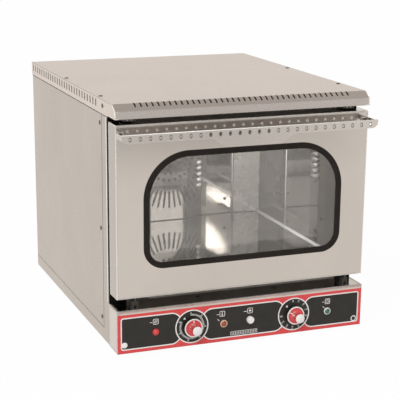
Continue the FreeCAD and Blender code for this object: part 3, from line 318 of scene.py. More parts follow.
class Shader(Nodes):
    """A material with one Principled shader and short calls for the nodes in front of it."""

    def __init__(self, name, metallic=0.0, **sockets):
        self.material = bpy.data.materials.new(name)
        self.material.use_nodes = True
        super().__init__(self.material.node_tree)
        self.bsdf = self.tree.nodes["Principled BSDF"]
        self.bsdf.inputs["Metallic"].default_value = metallic
        for socket, value in sockets.items():
            self.bsdf.inputs[socket.replace("_", " ")].default_value = value
        self.place = self.node("ShaderNodeTexCoord").outputs["Object"]
        self.normal = None

    def noise(self, scale, stretch=(1, 1, 1)):
        mapping = self.node("ShaderNodeMapping", {"Vector": self.place, "Scale": stretch})
        inputs = {"Scale": scale, "Detail": NOISE_DETAIL, "Roughness": NOISE_ROUGHNESS}
        inputs["Vector"] = mapping.outputs["Vector"]
        return self.node("ShaderNodeTexNoise", inputs).outputs["Fac"]

    def colour(self, source, dark, light):
        ramp = self.node("ShaderNodeValToRGB", {"Fac": source})
        for element, position, tone in zip(ramp.color_ramp.elements, NOISE_SPAN, (dark, light)):
            element.position = position
            element.color = (*tone, 1)
        self.feed(self.bsdf.inputs["Base Color"], ramp.outputs["Color"])

    def blend_colour(self, share, tone, blend="MIX"):
        """Blends another tone into the colour where the share is 1."""
        base = self.bsdf.inputs["Base Color"]
        self.feed(base, self.mix(share, base.links[0].from_socket, (*tone, 1), blend))

    def facing(self, axis):
        """1 on the faces that look along an axis of the object, else 0."""
        normal = self.node("ShaderNodeTexCoord").outputs["Normal"]
        along = self.node("ShaderNodeVectorMath", {0: normal, 1: axis}, operation="DOT_PRODUCT")
        return self.math("GREATER_THAN", along.outputs["Value"], FACING)

    def face_tone(self, axis, tone):
        """Multiplies the colour by another tone on the faces that look along an axis of the object, as
        painted light and shade on those faces.
        """
        self.blend_colour(self.facing(axis), tone, "MULTIPLY")

    def set_where(self, share, socket, value):
        """Gives a socket another value where the share is 1."""
        target = self.bsdf.inputs[socket]
        usual = target.links[0].from_socket if target.links else target.default_value
        self.feed(target, self.mix(share, usual, value))

    def beyond(self, axis, operation, *limits):
        """1 where the object's place along an axis, without its sign for X, meets the limits, else 0."""
        along = self.node("ShaderNodeSeparateXYZ", {"Vector": self.place}).outputs[axis]
        if axis == "X":
            along = self.math("ABSOLUTE", along)
        return self.math(operation, along, *(limit * MM for limit in limits))

    def spread(self, source, socket, low, high):
        self.feed(self.bsdf.inputs[socket], self.ranged(source, NOISE_SPAN, low, high))

    def rounded(self, radius, samples):
        """The normal with the edges rounded."""
        return self.node("ShaderNodeBevel", {"Radius": radius * MM}, samples=samples).outputs["Normal"]

    def round_edges(self, radius):
        self.normal = self.rounded(radius, EDGE_SAMPLES)
        self.feed(self.bsdf.inputs["Normal"], self.normal)

    def burnish_edges(self, radius, tone, corner=None):
        """Paints a highlight on the outer folds, where the rounded normal leaves the flat one.

        With a corner, only the folds outside its X and before its Y.
        """
        normals = {
            0: self.rounded(radius, FOLD_HIGHLIGHT_SAMPLES),
            1: self.node("ShaderNodeNewGeometry").outputs["True Normal"],
        }
        along = self.node("ShaderNodeVectorMath", normals, operation="DOT_PRODUCT")
        share = self.ranged(along.outputs["Value"], FOLD_TURN)
        if corner is not None:
            share = self.math("MULTIPLY", share, self.beyond("X", "GREATER_THAN", corner[0]))
            share = self.math("MULTIPLY", share, self.beyond("Y", "LESS_THAN", corner[1]))
        self.blend_colour(share, tone)

    def bump(self, source, depth, strength):
        inputs = {"Height": source, "Distance": depth * MM, "Strength": strength}
        if self.normal:
            inputs["Normal"] = self.normal
        self.normal = self.node("ShaderNodeBump", inputs).outputs["Normal"]
        self.feed(self.bsdf.inputs["Normal"], self.normal)


def steel(
    name, dark, light, rough, grain=(1, 1, 1), grain_scale=60.0, depth=0.004, edge=0.8, metallic=1.0,
    front=None, sides=None, slope_light=None, fold_highlight=None, corner=None, dull_back=False, zones=(), blasted=None,
):
    """Sheet steel: slow changes of tone, a fine grain in the polish and rounded folds.

    Zones hold a test and its limit along Y, a tone and a roughness or None. A blasted sheet is duller
    between two places on both sides of its middle.
    """
    shader = Shader(name, metallic=metallic)
    shader.colour(shader.noise(STEEL_TONES), dark, light)
    # Painted light and shade: the slope, the front and the sides get their own tones for how the light falls
    # on them
    if slope_light is not None:
        shader.face_tone((0, -0.707, 0.707), slope_light)
    if front is not None:
        shader.face_tone((0, -1, 0), front)
    if sides is not None:
        shader.face_tone((-1, 0, 0), sides)
        shader.face_tone((1, 0, 0), sides)
    for test, limit, tone, _ in zones:
        shader.blend_colour(shader.beyond("Y", test, limit), (tone,) * 3, "MULTIPLY")
    # Painted highlight along the outer folds
    if fold_highlight is not None:
        shader.burnish_edges(fold_highlight, FOLD_HIGHLIGHT_TONE, corner)
    fine = shader.noise(grain_scale, grain)
    shader.spread(fine, "Roughness", *rough)
    if dull_back:
        back = shader.facing((0, 1, 0))
        shader.set_where(back, "Metallic", DULL_METALLIC)
        shader.set_where(back, "Roughness", DULL_ROUGHNESS)
    for test, limit, _, dull in zones:
        if dull is not None:
            shader.set_where(shader.beyond("Y", test, limit), "Roughness", dull)
    if blasted is not None:
        low, high = blasted
        band = shader.beyond("X", "COMPARE", (low + high) / 2, (high - low) / 2)
        shader.set_where(band, "Roughness", SLOPE_ROUGHNESS)
    shader.round_edges(edge)
    shader.bump(fine, depth, STEEL_BUMP)
    return shader.material


def moulded(name, dark, light, rough, grain_scale=900.0, depth=0.01, **sockets):
    """Plastic, rubber or ink with a fine moulded skin."""
    shader = Shader(name, **sockets)
    shader.colour(shader.noise(SKIN_TONES), dark, light)
    skin = shader.noise(grain_scale)
    shader.spread(skin, "Roughness", *rough)
    shader.bump(skin, depth, SKIN_BUMP)
    return shader.material


def window_glass(name):
    shader = Shader(name, IOR=PANE_INDEX, Transmission_Weight=1.0, Alpha=PANE_ALPHA)
    streaks = shader.noise(7.0, (1, 1, 0.3))
    shader.colour(streaks, (0.95, 0.94, 0.925), (0.985, 0.975, 0.96))
    shader.spread(streaks, "Roughness", 0.0, 0.012)
    return shader.material


# Materials
MIRROR_SHEET = ((0.66, 0.645, 0.625), (0.72, 0.705, 0.685), (0.03, 0.05), (1, 1, 1), 24.0, 0.001)
MATT = {"Specular_IOR_Level": 0.2}
PRINT = {"rough": (0.36, 0.46), "depth": 0.004}
LENS = {"rough": (0.10, 0.18), "grain_scale": 300.0, "Coat_Weight": 0.6}

casing_steel = steel(
    "casing_steel", (0.455, 0.42, 0.39), (0.50, 0.465, 0.435), (0.24, 0.34), (1, 1, 14), 90.0, 0.001,
    FOLD_RADIUS)
# Post steel whose front faces are nearly black: painted shade in the gap beside the door
post_steel = steel(
    "post_steel", (0.445, 0.41, 0.38), (0.485, 0.45, 0.42), (0.24, 0.34), (1, 1, 14), 90.0, 0.001,
    front=(0.024,) * 3)
# Cover steel: a lighter copy of the casing steel as painted light from above, with painted shade on its front
# lip,
# painted light on its slope and a painted highlight on its front corner folds
top_steel = steel(
    "top_steel", (0.65, 0.59, 0.56), (0.69, 0.63, 0.60), (0.24, 0.34), (14, 1, 1), 90.0, 0.001, FOLD_RADIUS,
    front=(0.77, 0.80, 0.82), slope_light=(1.16, 1.15, 1.13), fold_highlight=FOLD_HIGHLIGHT_RADIUS, corner=COVER_CORNER)
panel_steel = steel(
    "panel_steel", (0.58, 0.555, 0.53), (0.63, 0.605, 0.58), (0.08, 0.16), (1, 1, 10), 70.0, edge=PANEL_FOLD)
# Door steel: its side faces darker as painted shade, its folds with a painted highlight
door_steel = steel(
    "door_steel", (0.55, 0.52, 0.495), (0.59, 0.56, 0.535), (0.07, 0.12), (1, 1, 10), 70.0, edge=DOOR_FOLD,
    sides=(0.75,) * 3, fold_highlight=FOLD_HIGHLIGHT_RADIUS)
# Handle steel, lighter than the door: its front and side faces darker as painted shade, its back lighter as
# painted light
handle_steel = steel(
    "handle_steel", (0.82, 0.785, 0.755), (0.89, 0.85, 0.82), (0.10, 0.17), (1, 1, 8), 70.0, 0.002,
    front=(0.72,) * 3, sides=(0.66,) * 3, dull_back=True)
liner_steel = steel(
    "liner_steel", (0.60, 0.58, 0.56), (0.68, 0.66, 0.64), (0.20, 0.30), (8, 1, 1), 80.0, metallic=0.3)
# The floor is darker at its front, and the walls darker at the back and rougher at the front
cavity_steel = steel("cavity_steel", *MIRROR_SHEET, zones=[("LESS_THAN", FLOOR_FRONT, 0.6, None)])
wall_steel = steel(
    "wall_steel", *MIRROR_SHEET,
    zones=[("GREATER_THAN", WALL_JOINT, 0.22, None), ("LESS_THAN", WALL_FRONT, 0.9, 0.34)])
baffle_steel = steel("baffle_steel", *MIRROR_SHEET, blasted=(BAFFLE_FLAT, BAFFLE_FOLD))
guide_steel = steel(
    "guide_steel", (0.66, 0.645, 0.62), (0.84, 0.825, 0.80), (0.22, 0.36),
    grain_scale=36.0, depth=0.02, metallic=0.6)
# Near-white steel on beads, hems, rivets, hoods and folds: painted highlights
painted_highlight_steel = steel(
    "painted_highlight_steel", (0.86, 0.85, 0.83), (0.92, 0.91, 0.89), (0.12, 0.24), edge=0.3, metallic=0.1)
knob_chrome = steel("knob_chrome", (0.82, 0.82, 0.81), (0.88, 0.88, 0.87), (0.05, 0.11), edge=0.2)
# Dark steel for the back wall, the fan and the standoffs behind the baffle
dark_steel = steel("dark_steel", (0.07, 0.065, 0.06), (0.15, 0.14, 0.13), (0.28, 0.45))
dark_plate = steel("dark_plate", (0.10, 0.095, 0.09), (0.16, 0.15, 0.14), (0.28, 0.42), edge=0.3)
plated_steel = steel("plated_steel", (0.32, 0.31, 0.30), (0.44, 0.43, 0.41), (0.25, 0.38), edge=0.3)
turned_steel = steel(
    "turned_steel", (0.52, 0.52, 0.51), (0.62, 0.62, 0.61), (0.18, 0.30), (1, 30, 1), 60.0, edge=0.2)
cast_alloy = steel(
    "cast_alloy", (0.28, 0.28, 0.29), (0.36, 0.36, 0.37), (0.45, 0.62), grain_scale=300.0, depth=0.05)
element_steel = steel("element_steel", (0.07, 0.06, 0.055), (0.16, 0.12, 0.10), (0.40, 0.60), edge=0.2)
rubber = moulded(
    "rubber", (0.015, 0.012, 0.010), (0.021, 0.017, 0.014), (0.5, 0.66), depth=0.02, Specular_IOR_Level=0.12)
foot_rubber = moulded("foot_rubber", (0.012, 0.012, 0.012), (0.03, 0.03, 0.03), (0.6, 0.8), depth=0.03)
# Near-black on the rails and catches above and below the door and on the casing joints: painted shade
painted_shade_black = moulded("painted_shade_black", (0.16, 0.147, 0.133), (0.20, 0.185, 0.167), (0.42, 0.58), **MATT)
# Hinge parts darkened further as painted shade under the door
hinge_painted_shade = moulded("hinge_painted_shade", (0.035, 0.032, 0.029), (0.05, 0.046, 0.042), (0.42, 0.58), **MATT)
# Insulation darkened as painted shade where it shows through the cover's slots
wool = moulded("wool", (0.10, 0.085, 0.06), (0.20, 0.17, 0.12), (0.9, 1.0), 220.0, 0.9)
unit_plastic = moulded("unit_plastic", (0.03, 0.03, 0.03), (0.05, 0.05, 0.05), (0.4, 0.55))
red_film = moulded("red_film", (0.66, 0.050, 0.055), (0.72, 0.062, 0.066), (0.28, 0.36), depth=0.004)
black_ink = moulded(
    "black_ink", (0.023, 0.022, 0.020), (0.029, 0.027, 0.025), Specular_IOR_Level=0.25, **PRINT)
white_ink = moulded("white_ink", (0.80, 0.79, 0.78), (0.86, 0.85, 0.84), **PRINT)
white_plastic = moulded("white_plastic", (0.80, 0.79, 0.77), (0.88, 0.87, 0.85), (0.25, 0.38))
black_plastic = moulded("black_plastic", (0.010, 0.009, 0.009), (0.016, 0.015, 0.014), (0.32, 0.46))
red_plastic = moulded("red_plastic", (0.62, 0.045, 0.055), (0.70, 0.06, 0.07), (0.25, 0.36))
peach_plastic = moulded("peach_plastic", (0.72, 0.46, 0.32), (0.80, 0.54, 0.40), (0.30, 0.42))
red_lens = moulded("red_lens", (0.60, 0.02, 0.02), (0.72, 0.04, 0.04), **LENS)
amber_lens = moulded("amber_lens", (0.22, 0.035, 0.012), (0.32, 0.06, 0.02), **LENS)
green_lens = moulded("green_lens", (0.012, 0.11, 0.062), (0.03, 0.18, 0.10), **LENS)
front_pane = window_glass("front_pane")
rear_pane = window_glass("rear_pane")

NODE_MATERIALS = {
    casing_steel: "right_side_panel left_side_panel base_tray back_panel",
    post_steel: "front_post_right front_post_left",
    painted_shade_black: "front_rail_bottom front_rail_top door_catches",
    hinge_painted_shade: "hinge_brackets hinge_leaves hinge_pins",
    panel_steel: "control_panel",
    top_steel: "top_cover",
    door_steel: "door_outer_panel",
    handle_steel: "door_handle",
    liner_steel: "door_inner_panel motor_bracket",
    cavity_steel: "cavity_floor cavity_ceiling",
    wall_steel: "cavity_left_wall cavity_right_wall",
    baffle_steel: "fan_baffle",
    dark_steel: "cavity_back_wall fan_rotor baffle_standoffs",
    guide_steel: "air_guides",
    dark_plate: "casing_screws baffle_screws handle_screws",
    plated_steel: "rack_studs",
    turned_steel: "motor_shaft timer_spindle thermostat_spindle thermostat_probe",
    cast_alloy: "fan_motor",
    element_steel: "heating_element",
    rubber: "window_gasket inner_glass_seal door_seal",
    foot_rubber: "feet",
    wool: "side_insulation top_insulation bottom_insulation back_insulation",
    unit_plastic: "timer_unit thermostat_unit terminal_block cable_gland",
    white_plastic: "button_switch push_button",
    red_film: "panel_overlay",
    red_lens: "red_lamp",
    amber_lens: "amber_lamp",
    green_lens: "green_lamp",
    front_pane: "outer_glass",
    rear_pane: "inner_glass",
}
for finish, names in NODE_MATERIALS.items():
    for name in names.split():
        nodes[name].material_slots[0].material = finish


# Mesh helpers


def piece(name, mesh_maker, finishes, body="cabinet"):
    """A new object from a function that fills a bmesh, riding on a body."""
    maker = bmesh.new()
    mesh_maker(maker)
    bmesh.ops.recalc_face_normals(maker, faces=maker.faces)
    mesh = bpy.data.meshes.new(name)
    maker.to_mesh(mesh)
    maker.free()
    for finish in finishes:
        mesh.materials.append(finish)
    made = add_object(name, mesh)
    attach(made, body)
    return made


def bridge(maker, first, second, smooth=True, finish=0):
    """Faces between two closed rings with as many points."""
    for index in range(len(first)):
        after = (index + 1) % len(first)
        face = maker.faces.new((first[index], first[after], second[after], second[index]))
        face.smooth = smooth
        face.material_index = finish


def add_plate(maker, outline, front, back):
    """A flat plate that faces the front, from an outline of (x, z) points."""
    loop = [maker.verts.new((x, back, z)) for x, z in outline]
    face = maker.faces.new(loop)
    lifted = bmesh.ops.extrude_face_region(maker, geom=[face])
    moved = [item for item in lifted["geom"] if isinstance(item, bmesh.types.BMVert)]
    bmesh.ops.translate(maker, verts=moved, vec=(0, front - back, 0))


def add_ring(maker, outer, inner, front, back):
    """A flat ring between two outlines with as many points."""
    rings = [[maker.verts.new((x, y, z)) for x, z in outline] for outline, y in (
        (outer, back), (outer, front), (inner, front), (inner, back))]
    for first, second in zip(rings, rings[1:] + rings[:1]):
        bridge(maker, first, second, smooth=False)


def add_turned(maker, profile, base, outward, segments=64, ripple=None):
    """A turned solid on the axis outward: the profile holds (radius, height, material) from base to tip."""
    axis = Vector(outward)
    across = axis.orthogonal().normalized()
    beside = axis.cross(across)
    rings = []
    for radius, height, _ in profile:
        ring = []
        for index in range(segments):
            turn = 2 * math.pi * index / segments
            reach = radius * (ripple(turn, height) if ripple else 1.0)
            spoke = across * math.cos(turn) + beside * math.sin(turn)
            ring.append(maker.verts.new(base + spoke * reach + axis * height))
        rings.append(ring)
    for (_, _, finish), first, second in zip(profile, rings, rings[1:]):
        bridge(maker, first, second, finish=finish)
    maker.faces.new(rings[0]).material_index = profile[0][2]
    maker.faces.new(rings[-1]).material_index = profile[-1][2]


def one_finish(shape, radius=1.0):
    """A profile for turning in one material, from pairs of radius or its share, and height."""
    return [(share * radius * MM, height * MM, 0) for share, height in shape]


def add_block(maker, low, high):
    made = bmesh.ops.create_cube(maker, size=1.0)
    middle = (Vector(low) + Vector(high)) / 2
    size = Vector(high) - Vector(low)
    for vert in made["verts"]:
        vert.co = Vector([middle[axis] + vert.co[axis] * size[axis] for axis in range(3)])


def add_prism(maker, points, start, run):
    """A straight prism from a closed outline of points, placed at start and swept along run."""
    near = [maker.verts.new(Vector(start) + Vector(point)) for point in points]
    far = [maker.verts.new(Vector(start) + Vector(point) + Vector(run)) for point in points]
    maker.faces.new(near)
    maker.faces.new(far)
    bridge(maker, near, far)


def arc_turns(sweep, steps, start=0.0):
    return [math.radians(start + sweep * step / steps) for step in range(steps + 1)]


def corner_arc(x, z, radius, start, steps=12):
    turns = arc_turns(90, steps, start)
    return [(x + radius * math.cos(turn), z + radius * math.sin(turn)) for turn in turns]


def rounded_outline(left, right, low, high, left_radius, right_radius):
    return (
        corner_arc(right - right_radius, low + right_radius, right_radius, -90)
        + corner_arc(right - right_radius, high - right_radius, right_radius, 0)
        + corner_arc(left + left_radius, high - left_radius, left_radius, 90)
        + corner_arc(left + left_radius, low + left_radius, left_radius, 180)
    )


def circle_outline(x, z, radius, count=96):
    turns = [2 * math.pi * index / count for index in range(count)]
    return [(x + radius * math.cos(turn), z + radius * math.sin(turn)) for turn in turns]


def bar_outline(x0, z0, x1, z1, width):
    """A straight stroke between two points."""
    run = Vector((x1 - x0, z1 - z0)).normalized() * (width / 2)
    return [
        (x0 + run.y, z0 - run.x),
        (x1 + run.y, z1 - run.x),
        (x1 - run.y, z1 + run.x),
        (x0 - run.y, z0 + run.x),
    ]


def strip_on(face, sign):
    """The lower and the upper X of a thin strip on a side face that looks along the sign."""
    return sorted((face, face + sign * STRIP * MM))


def loose_parts(node):
    """The boxes of a node's separate solids."""
    solid = bmesh.new()
    solid.from_mesh(nodes[node].data)
    bmesh.ops.remove_doubles(solid, verts=solid.verts, dist=WELD * MM)
    left = set(solid.verts)
    boxes = []
    while left:
        found = [left.pop()]
        for vert in found:
            for edge in vert.link_edges:
                other = edge.other_vert(vert)
                if other in left:
                    left.discard(other)
                    found.append(other)
        places = [vert.co for vert in found]
        low = Vector([min(place[axis] for place in places) for axis in range(3)])
        high = Vector([max(place[axis] for place in places) for axis in range(3)])
        boxes.append((low, high))
    solid.free()
    return boxes


# Printed film on the control panel
FRONT = (0, -1, 0)
film_face = film_low.y
base_z = panel_low.z


def layer(number):
    return film_face - number * PRINT_LAYER * MM


def on_panel(points):
    return [(x * MM, base_z + h * MM) for x, h in points]


dial_places = {name: centre_of(name + "_spindle") for name in ("timer", "thermostat")}
timer_x = dial_places["timer"].x / MM
thermostat_x = dial_places["thermostat"].x / MM
dial_height = (dial_places["timer"].z - base_z) / MM
film_half = film_high.x / MM
ISLANDS = [  # left, right and the radius of the corners on each side
    (-film_half + ISLAND_MARGIN, timer_x - ISLAND_TO_DIAL, ISLAND_CORNER, ISLAND_DIAL_CORNER),
    (timer_x + ISLAND_TO_DIAL, thermostat_x - ISLAND_TO_DIAL, ISLAND_DIAL_CORNER, ISLAND_DIAL_CORNER),
    (thermostat_x + ISLAND_TO_DIAL, film_half - ISLAND_MARGIN, ISLAND_DIAL_CORNER, ISLAND_CORNER),
]


def island_plates(inset, level):
    def make(maker):
        for left, right, left_radius, right_radius in ISLANDS:
            outline = rounded_outline(
                left + inset, right - inset, ISLAND_LOW + inset, ISLAND_HIGH - inset,
                left_radius - inset, right_radius - inset,
            )
            add_plate(maker, on_panel(outline), layer(level), film_face)
    return make


def dial_plates(radius, level):
    def make(maker):
        for x in (timer_x, thermostat_x):
            outer = on_panel(circle_outline(x, dial_height, radius))
            inner = on_panel(circle_outline(x, dial_height, DIAL_HOLE))
            add_ring(maker, outer, inner, layer(level), film_face)
    return make


piece("island_outlines", island_plates(0.0, 1), [white_ink])
piece("island_fields", island_plates(OUTLINE, 2), [black_ink])
piece("dial_rims", dial_plates(DIAL_RADIUS, 3), [white_ink])
piece("dial_fields", dial_plates(DIAL_RADIUS - OUTLINE, 4), [black_ink])


def add_text(maker, text, size, x, h, turn, y):
    """Flat text that faces the front, centred on a place on the panel."""
    curve = bpy.data.curves.new("numeral", "FONT")
    curve.body = text
    curve.size = size * MM
    curve.align_x = "CENTER"
    curve.align_y = "CENTER"
    holder = bpy.data.objects.new("numeral", curve)
    flat = bpy.data.meshes.new_from_object(holder)
    flat.transform(Matrix.Rotation(math.radians(turn), 4, "Z"))
    flat.transform(Matrix.Rotation(math.radians(90), 4, "X"))
    flat.transform(Matrix.Translation((x * MM, y, base_z + h * MM)))
    maker.from_mesh(flat)
    bpy.data.meshes.remove(flat)
    bpy.data.objects.remove(holder)
    bpy.data.curves.remove(curve)


def add_stroke(maker, x0, h0, x1, h1, width, level=SIGN_LAYER):
    add_plate(maker, on_panel(bar_outline(x0, h0, x1, h1, width)), layer(level), film_face)


def on_dial(x, radius, angle):
    turn = math.radians(angle)
    return x + radius * math.cos(turn), dial_height + radius * math.sin(turn)


def dial_scales(maker):
    # Numerals stand along the radius, and a pointed mark shows the place where both dials are off
    level = layer(SCALE_LAYER)
    for x, sweep, steps in (
        (timer_x, TIMER_SWEEP, TIMER_STEPS),
        (thermostat_x, THERMOSTAT_SWEEP, THERMOSTAT_STEPS),
    ):
        for index, value in enumerate(steps):
            angle = SCALE_START - sweep * index / (len(steps) - 1)
            upright = angle if math.cos(math.radians(angle)) >= 0 else angle + 180
            add_text(maker, str(value), SCALE_TEXT, *on_dial(x, SCALE_TEXT_RADIUS, angle), upright, level)
        mark = [on_dial(x, ZERO_MARK_RADIUS - ZERO_MARK_SIZE, ZERO_MARK_TURN)]
        for side in (-ZERO_MARK_SPREAD, ZERO_MARK_SPREAD):
            mark.append(on_dial(x, ZERO_MARK_RADIUS + ZERO_MARK_SIZE, ZERO_MARK_TURN + side))
        add_plate(maker, on_panel(mark), level, film_face)
    for index in range(TIMER_TICKS + 1):
        angle = SCALE_START - TIMER_SWEEP * index / TIMER_TICKS
        ends = on_dial(timer_x, TICK_INNER, angle) + on_dial(timer_x, TICK_OUTER, angle)
        add_stroke(maker, *ends, TICK_WIDTH, SCALE_LAYER)


piece("dial_scales", dial_scales, [white_ink])


def add_outline(maker, outline, inner):
    add_ring(maker, on_panel(outline), on_panel(inner), layer(SIGN_LAYER), film_face)


def add_frame(maker, sides, line, corners):
    """A rounded frame from its left, right, low and high sides."""
    slim = [edge + line * sign for edge, sign in zip(sides, (1, -1, 1, -1))]
    outer, inner = corners
    add_outline(maker, rounded_outline(*sides, outer, outer), rounded_outline(*slim, inner, inner))


def add_sign(maker, node, x, h):
    # Heat, temperature, light and time
    for x0, h0, x1, h1, width in SIGN_STROKES[node]:
        add_stroke(maker, x + x0, h + h0, x + x1, h + h1, width)
    if node == "amber_lamp":
        drop, radius = BULB
        bulb = circle_outline(x, h - drop, radius, BULB_STEPS)
        add_plate(maker, on_panel(bulb), layer(SIGN_LAYER), film_face)
    elif node == "push_button":
        star = []
        for index in range(STAR_POINTS):
            reach = STAR[index % 2]
            turn = math.tau * index / STAR_POINTS
            star.append((x + reach * math.cos(turn), h + reach * math.sin(turn)))
        add_plate(maker, on_panel(star), layer(SIGN_LAYER), film_face)
    elif node == "green_lamp":
        add_outline(maker, *(circle_outline(x, h, radius, CLOCK_STEPS) for radius in CLOCK))


def panel_signs(maker):
    # A framed sign with a lead above each lamp and the button, a bar of plain marks and a ring
    half = ICON_SIZE / 2
    for node, (shift, lead_start, lead_end, ticked) in SIGNS.items():
        middle = centre_of(node)
        x = middle.x / MM - shift
        lamp_h = (middle.z - base_z) / MM
        add_frame(
            maker, (x - half, x + half, ICON_HEIGHT - half, ICON_HEIGHT + half), ICON_LINE, ICON_CORNERS)
        lead_h = ICON_HEIGHT - LEAD_DROP
        add_stroke(maker, x - half - lead_start, lead_h, x - half - lead_end, lead_h, ICON_LINE)
        if ticked:
            x0, h0, x1, h1 = LAMP_TICK
            add_stroke(maker, x + x0, lamp_h + h0, x + x1, lamp_h + h1, ICON_LINE)
        add_sign(maker, node, x, ICON_HEIGHT)
    add_frame(maker, PLAIN_BAR, PLAIN_BAR_LINE, PLAIN_BAR_CORNERS)
    left, right, low, high = PLAIN_BAR
    middle = (low + high) / 2
    half, width = PLAIN_BAR_MARK
    for index in range(PLAIN_BAR_MARKS):
        x = left + (right - left) * (index + 1) / (PLAIN_BAR_MARKS + 1)
        add_stroke(maker, x, middle - half, x, middle + half, width)
    x, h, radius = RING_MARK
    add_outline(maker, circle_outline(x, h, radius), circle_outline(x, h, radius - RING_MARK_LINE))


piece("panel_signs", panel_signs, [white_ink])


# Knobs, rings round the lamps, and the blanking plug


def flute(turn, height):
    low, high = FLUTE_SPAN
    fluted = low * MM < height < high * MM
    return 1.0 - FLUTE_DEPTH * (0.5 + 0.5 * math.cos(FLUTES * turn)) if fluted else 1.0


for name, place in dial_places.items():
    knob_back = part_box(name + "_knob")[1].y

    def knob(maker, place=place, knob_back=knob_back, turn=math.radians(POINTER_TURNS[name])):
        base = Vector((place.x, knob_back, place.z))
        profile = [(radius * MM, height * MM, finish) for radius, height, finish in KNOB_PROFILE]
        add_turned(maker, profile, base, FRONT, KNOB_STEPS, flute)
        ends = []
        for reach in POINTER_SPAN:
            ends += [place.x + reach * MM * math.cos(turn), place.z + reach * MM * math.sin(turn)]
        faces = set(maker.faces)
        front, back = (knob_back - height * MM for height in POINTER_HEIGHTS)
        add_plate(maker, bar_outline(*ends, POINTER_WIDTH * MM), front, back)
        for face in set(maker.faces) - faces:
            face.material_index = 1

    knob_piece = piece(
        name + "_knob_dressed", knob,
        [black_plastic, white_plastic, red_plastic, knob_chrome, white_plastic],
        name + "_dial",
    )
    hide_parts(name + "_knob")

for node, finish, slot, radius in (
    ("red_lamp", red_lens, "red_lens", 7.6),
    ("amber_lamp", peach_plastic, "amber_lens", 8.7),
    ("green_lamp", white_plastic, "green_lens", 8.4),
):
    def bezel(maker, middle=centre_of(node), radius=radius):
        rings = []
        for share, height in BEZEL_PROFILE:
            outline = circle_outline(middle.x, middle.z, share * radius * MM, BEZEL_STEPS)
            rings.append([maker.verts.new((x, film_face - height * MM, z)) for x, z in outline])
        for first, second in zip(rings, rings[1:]):
            bridge(maker, first, second)

    piece(node + "_ring", bezel, [finish])


def plug(maker):
    x, h, radius = PLUG
    base = Vector((x * MM, film_face, base_z + h * MM))
    add_turned(maker, one_finish(PLUG_PROFILE, radius), base, FRONT)


piece("panel_plug", plug, [white_plastic])


# Trim on the casing, the door and the cavity


def pan_heads(maker):
    # Pan heads with a cross recess, where the frame has its casing screws
    lift, long, narrow = (size * MM for size in RECESS)
    for low, high in loose_parts("casing_screws"):
        size = high - low
        along = max(range(3), key=lambda axis: size[axis])
        middle = (low + high) / 2
        sign = 1 if along == 2 or middle[along] > 0 else -1
        outward = Vector([sign if axis == along else 0 for axis in range(3)])
        tip = high[along] if sign > 0 else low[along]
        base = middle.copy()
        base[along] = tip - sign * SCREW_RISE * MM
        add_turned(maker, one_finish(SCREW_PROFILE, SCREW_HEAD), base, outward, SCREW_STEPS)
        across = outward.orthogonal().normalized()
        beside = outward.cross(across)
        for run, wide in ((across, beside), (beside, across)):
            corners = [base + outward * lift + run * (a * long) + wide * (b * narrow) for a, b in (
                (-1, -1), (1, -1), (1, 1), (-1, 1))]
            maker.faces.new([maker.verts.new(corner) for corner in corners]).material_index = 1


heads = piece("casing_screw_heads", pan_heads, [dark_plate, black_plastic])
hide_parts("casing_screws")


def seams(maker):
    # Dark strips at the joints under the cover's flanges, before the side panels and along their lower edges:
    # the joints' gaps, widened with painted shade
    wide = SEAM_WIDTH * MM
    flange_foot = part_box("top_cover")[0].z
    seam_foot = flange_foot - FLANGE_SEAM * MM
    post_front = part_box("front_post_left")[0].y
    for node, sign in (("left_side_panel", -1), ("right_side_panel", 1)):
        low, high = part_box(node)
        near, far = strip_on(low.x if sign < 0 else high.x, sign)
        add_block(maker, (near, post_front, seam_foot), (far, high.y, flange_foot))
        add_block(maker, (near, low.y - wide, low.z), (far, low.y + wide, seam_foot))
        add_block(maker, (near, low.y - wide, low.z - wide), (far, high.y, low.z))


piece("casing_seams", seams, [painted_shade_black])


def post_folds(start, end):
    """Painted bands along the front edge of both posts, from start to end behind that edge."""
    def make(maker):
        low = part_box("front_post_left")[0]
        foot, top = panel_high.z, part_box("top_cover")[0].z - FLANGE_SEAM * MM
        for sign in (-1, 1):
            near, far = strip_on(sign * abs(low.x), sign)
            add_block(maker, (near, low.y + start * MM, foot), (far, low.y + end * MM, top))
    return make


# A black band as painted shade in the gap beside the door, and a near-white band behind it as a painted
# highlight
piece("post_painted_shade", post_folds(0.0, POST_SHADE_BAND), [rubber])
piece("post_folds", post_folds(POST_SHADE_BAND, POST_SHADE_BAND + POST_HIGHLIGHT_BAND), [painted_highlight_steel])


def cover_slot_rims(maker):
    # Dark strips of painted shade beside the slots in the cover's flanges, and along the fold above them
    low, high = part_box("top_cover")
    wide, tall = (size * MM for size in SLOT_SIZE)
    shade_width = SLOT_SHADE * MM
    top = high.z - SLOT_DROP * MM
    fold = low.y + CHAMFER[0] * MM
    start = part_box("left_side_panel")[0].y + SLOT_BEHIND_SEAM * MM
    step = (high.y - SLOT_BACK_MARGIN * MM - start) / (SLOT_COUNT - 1)
    for sign in (-1, 1):
        near, far = strip_on(sign * high.x, sign)
        for index in range(SLOT_COUNT):
            middle = start + index * step
            for edge in (middle - wide / 2 - shade_width, middle + wide / 2):
                add_block(maker, (near, edge, top - tall), (far, edge + shade_width, top))
        add_block(maker, (near, fold, high.z - TOP_FOLD_SHADE * MM), (far, high.y, high.z))


piece("cover_slot_rims", cover_slot_rims, [plated_steel])


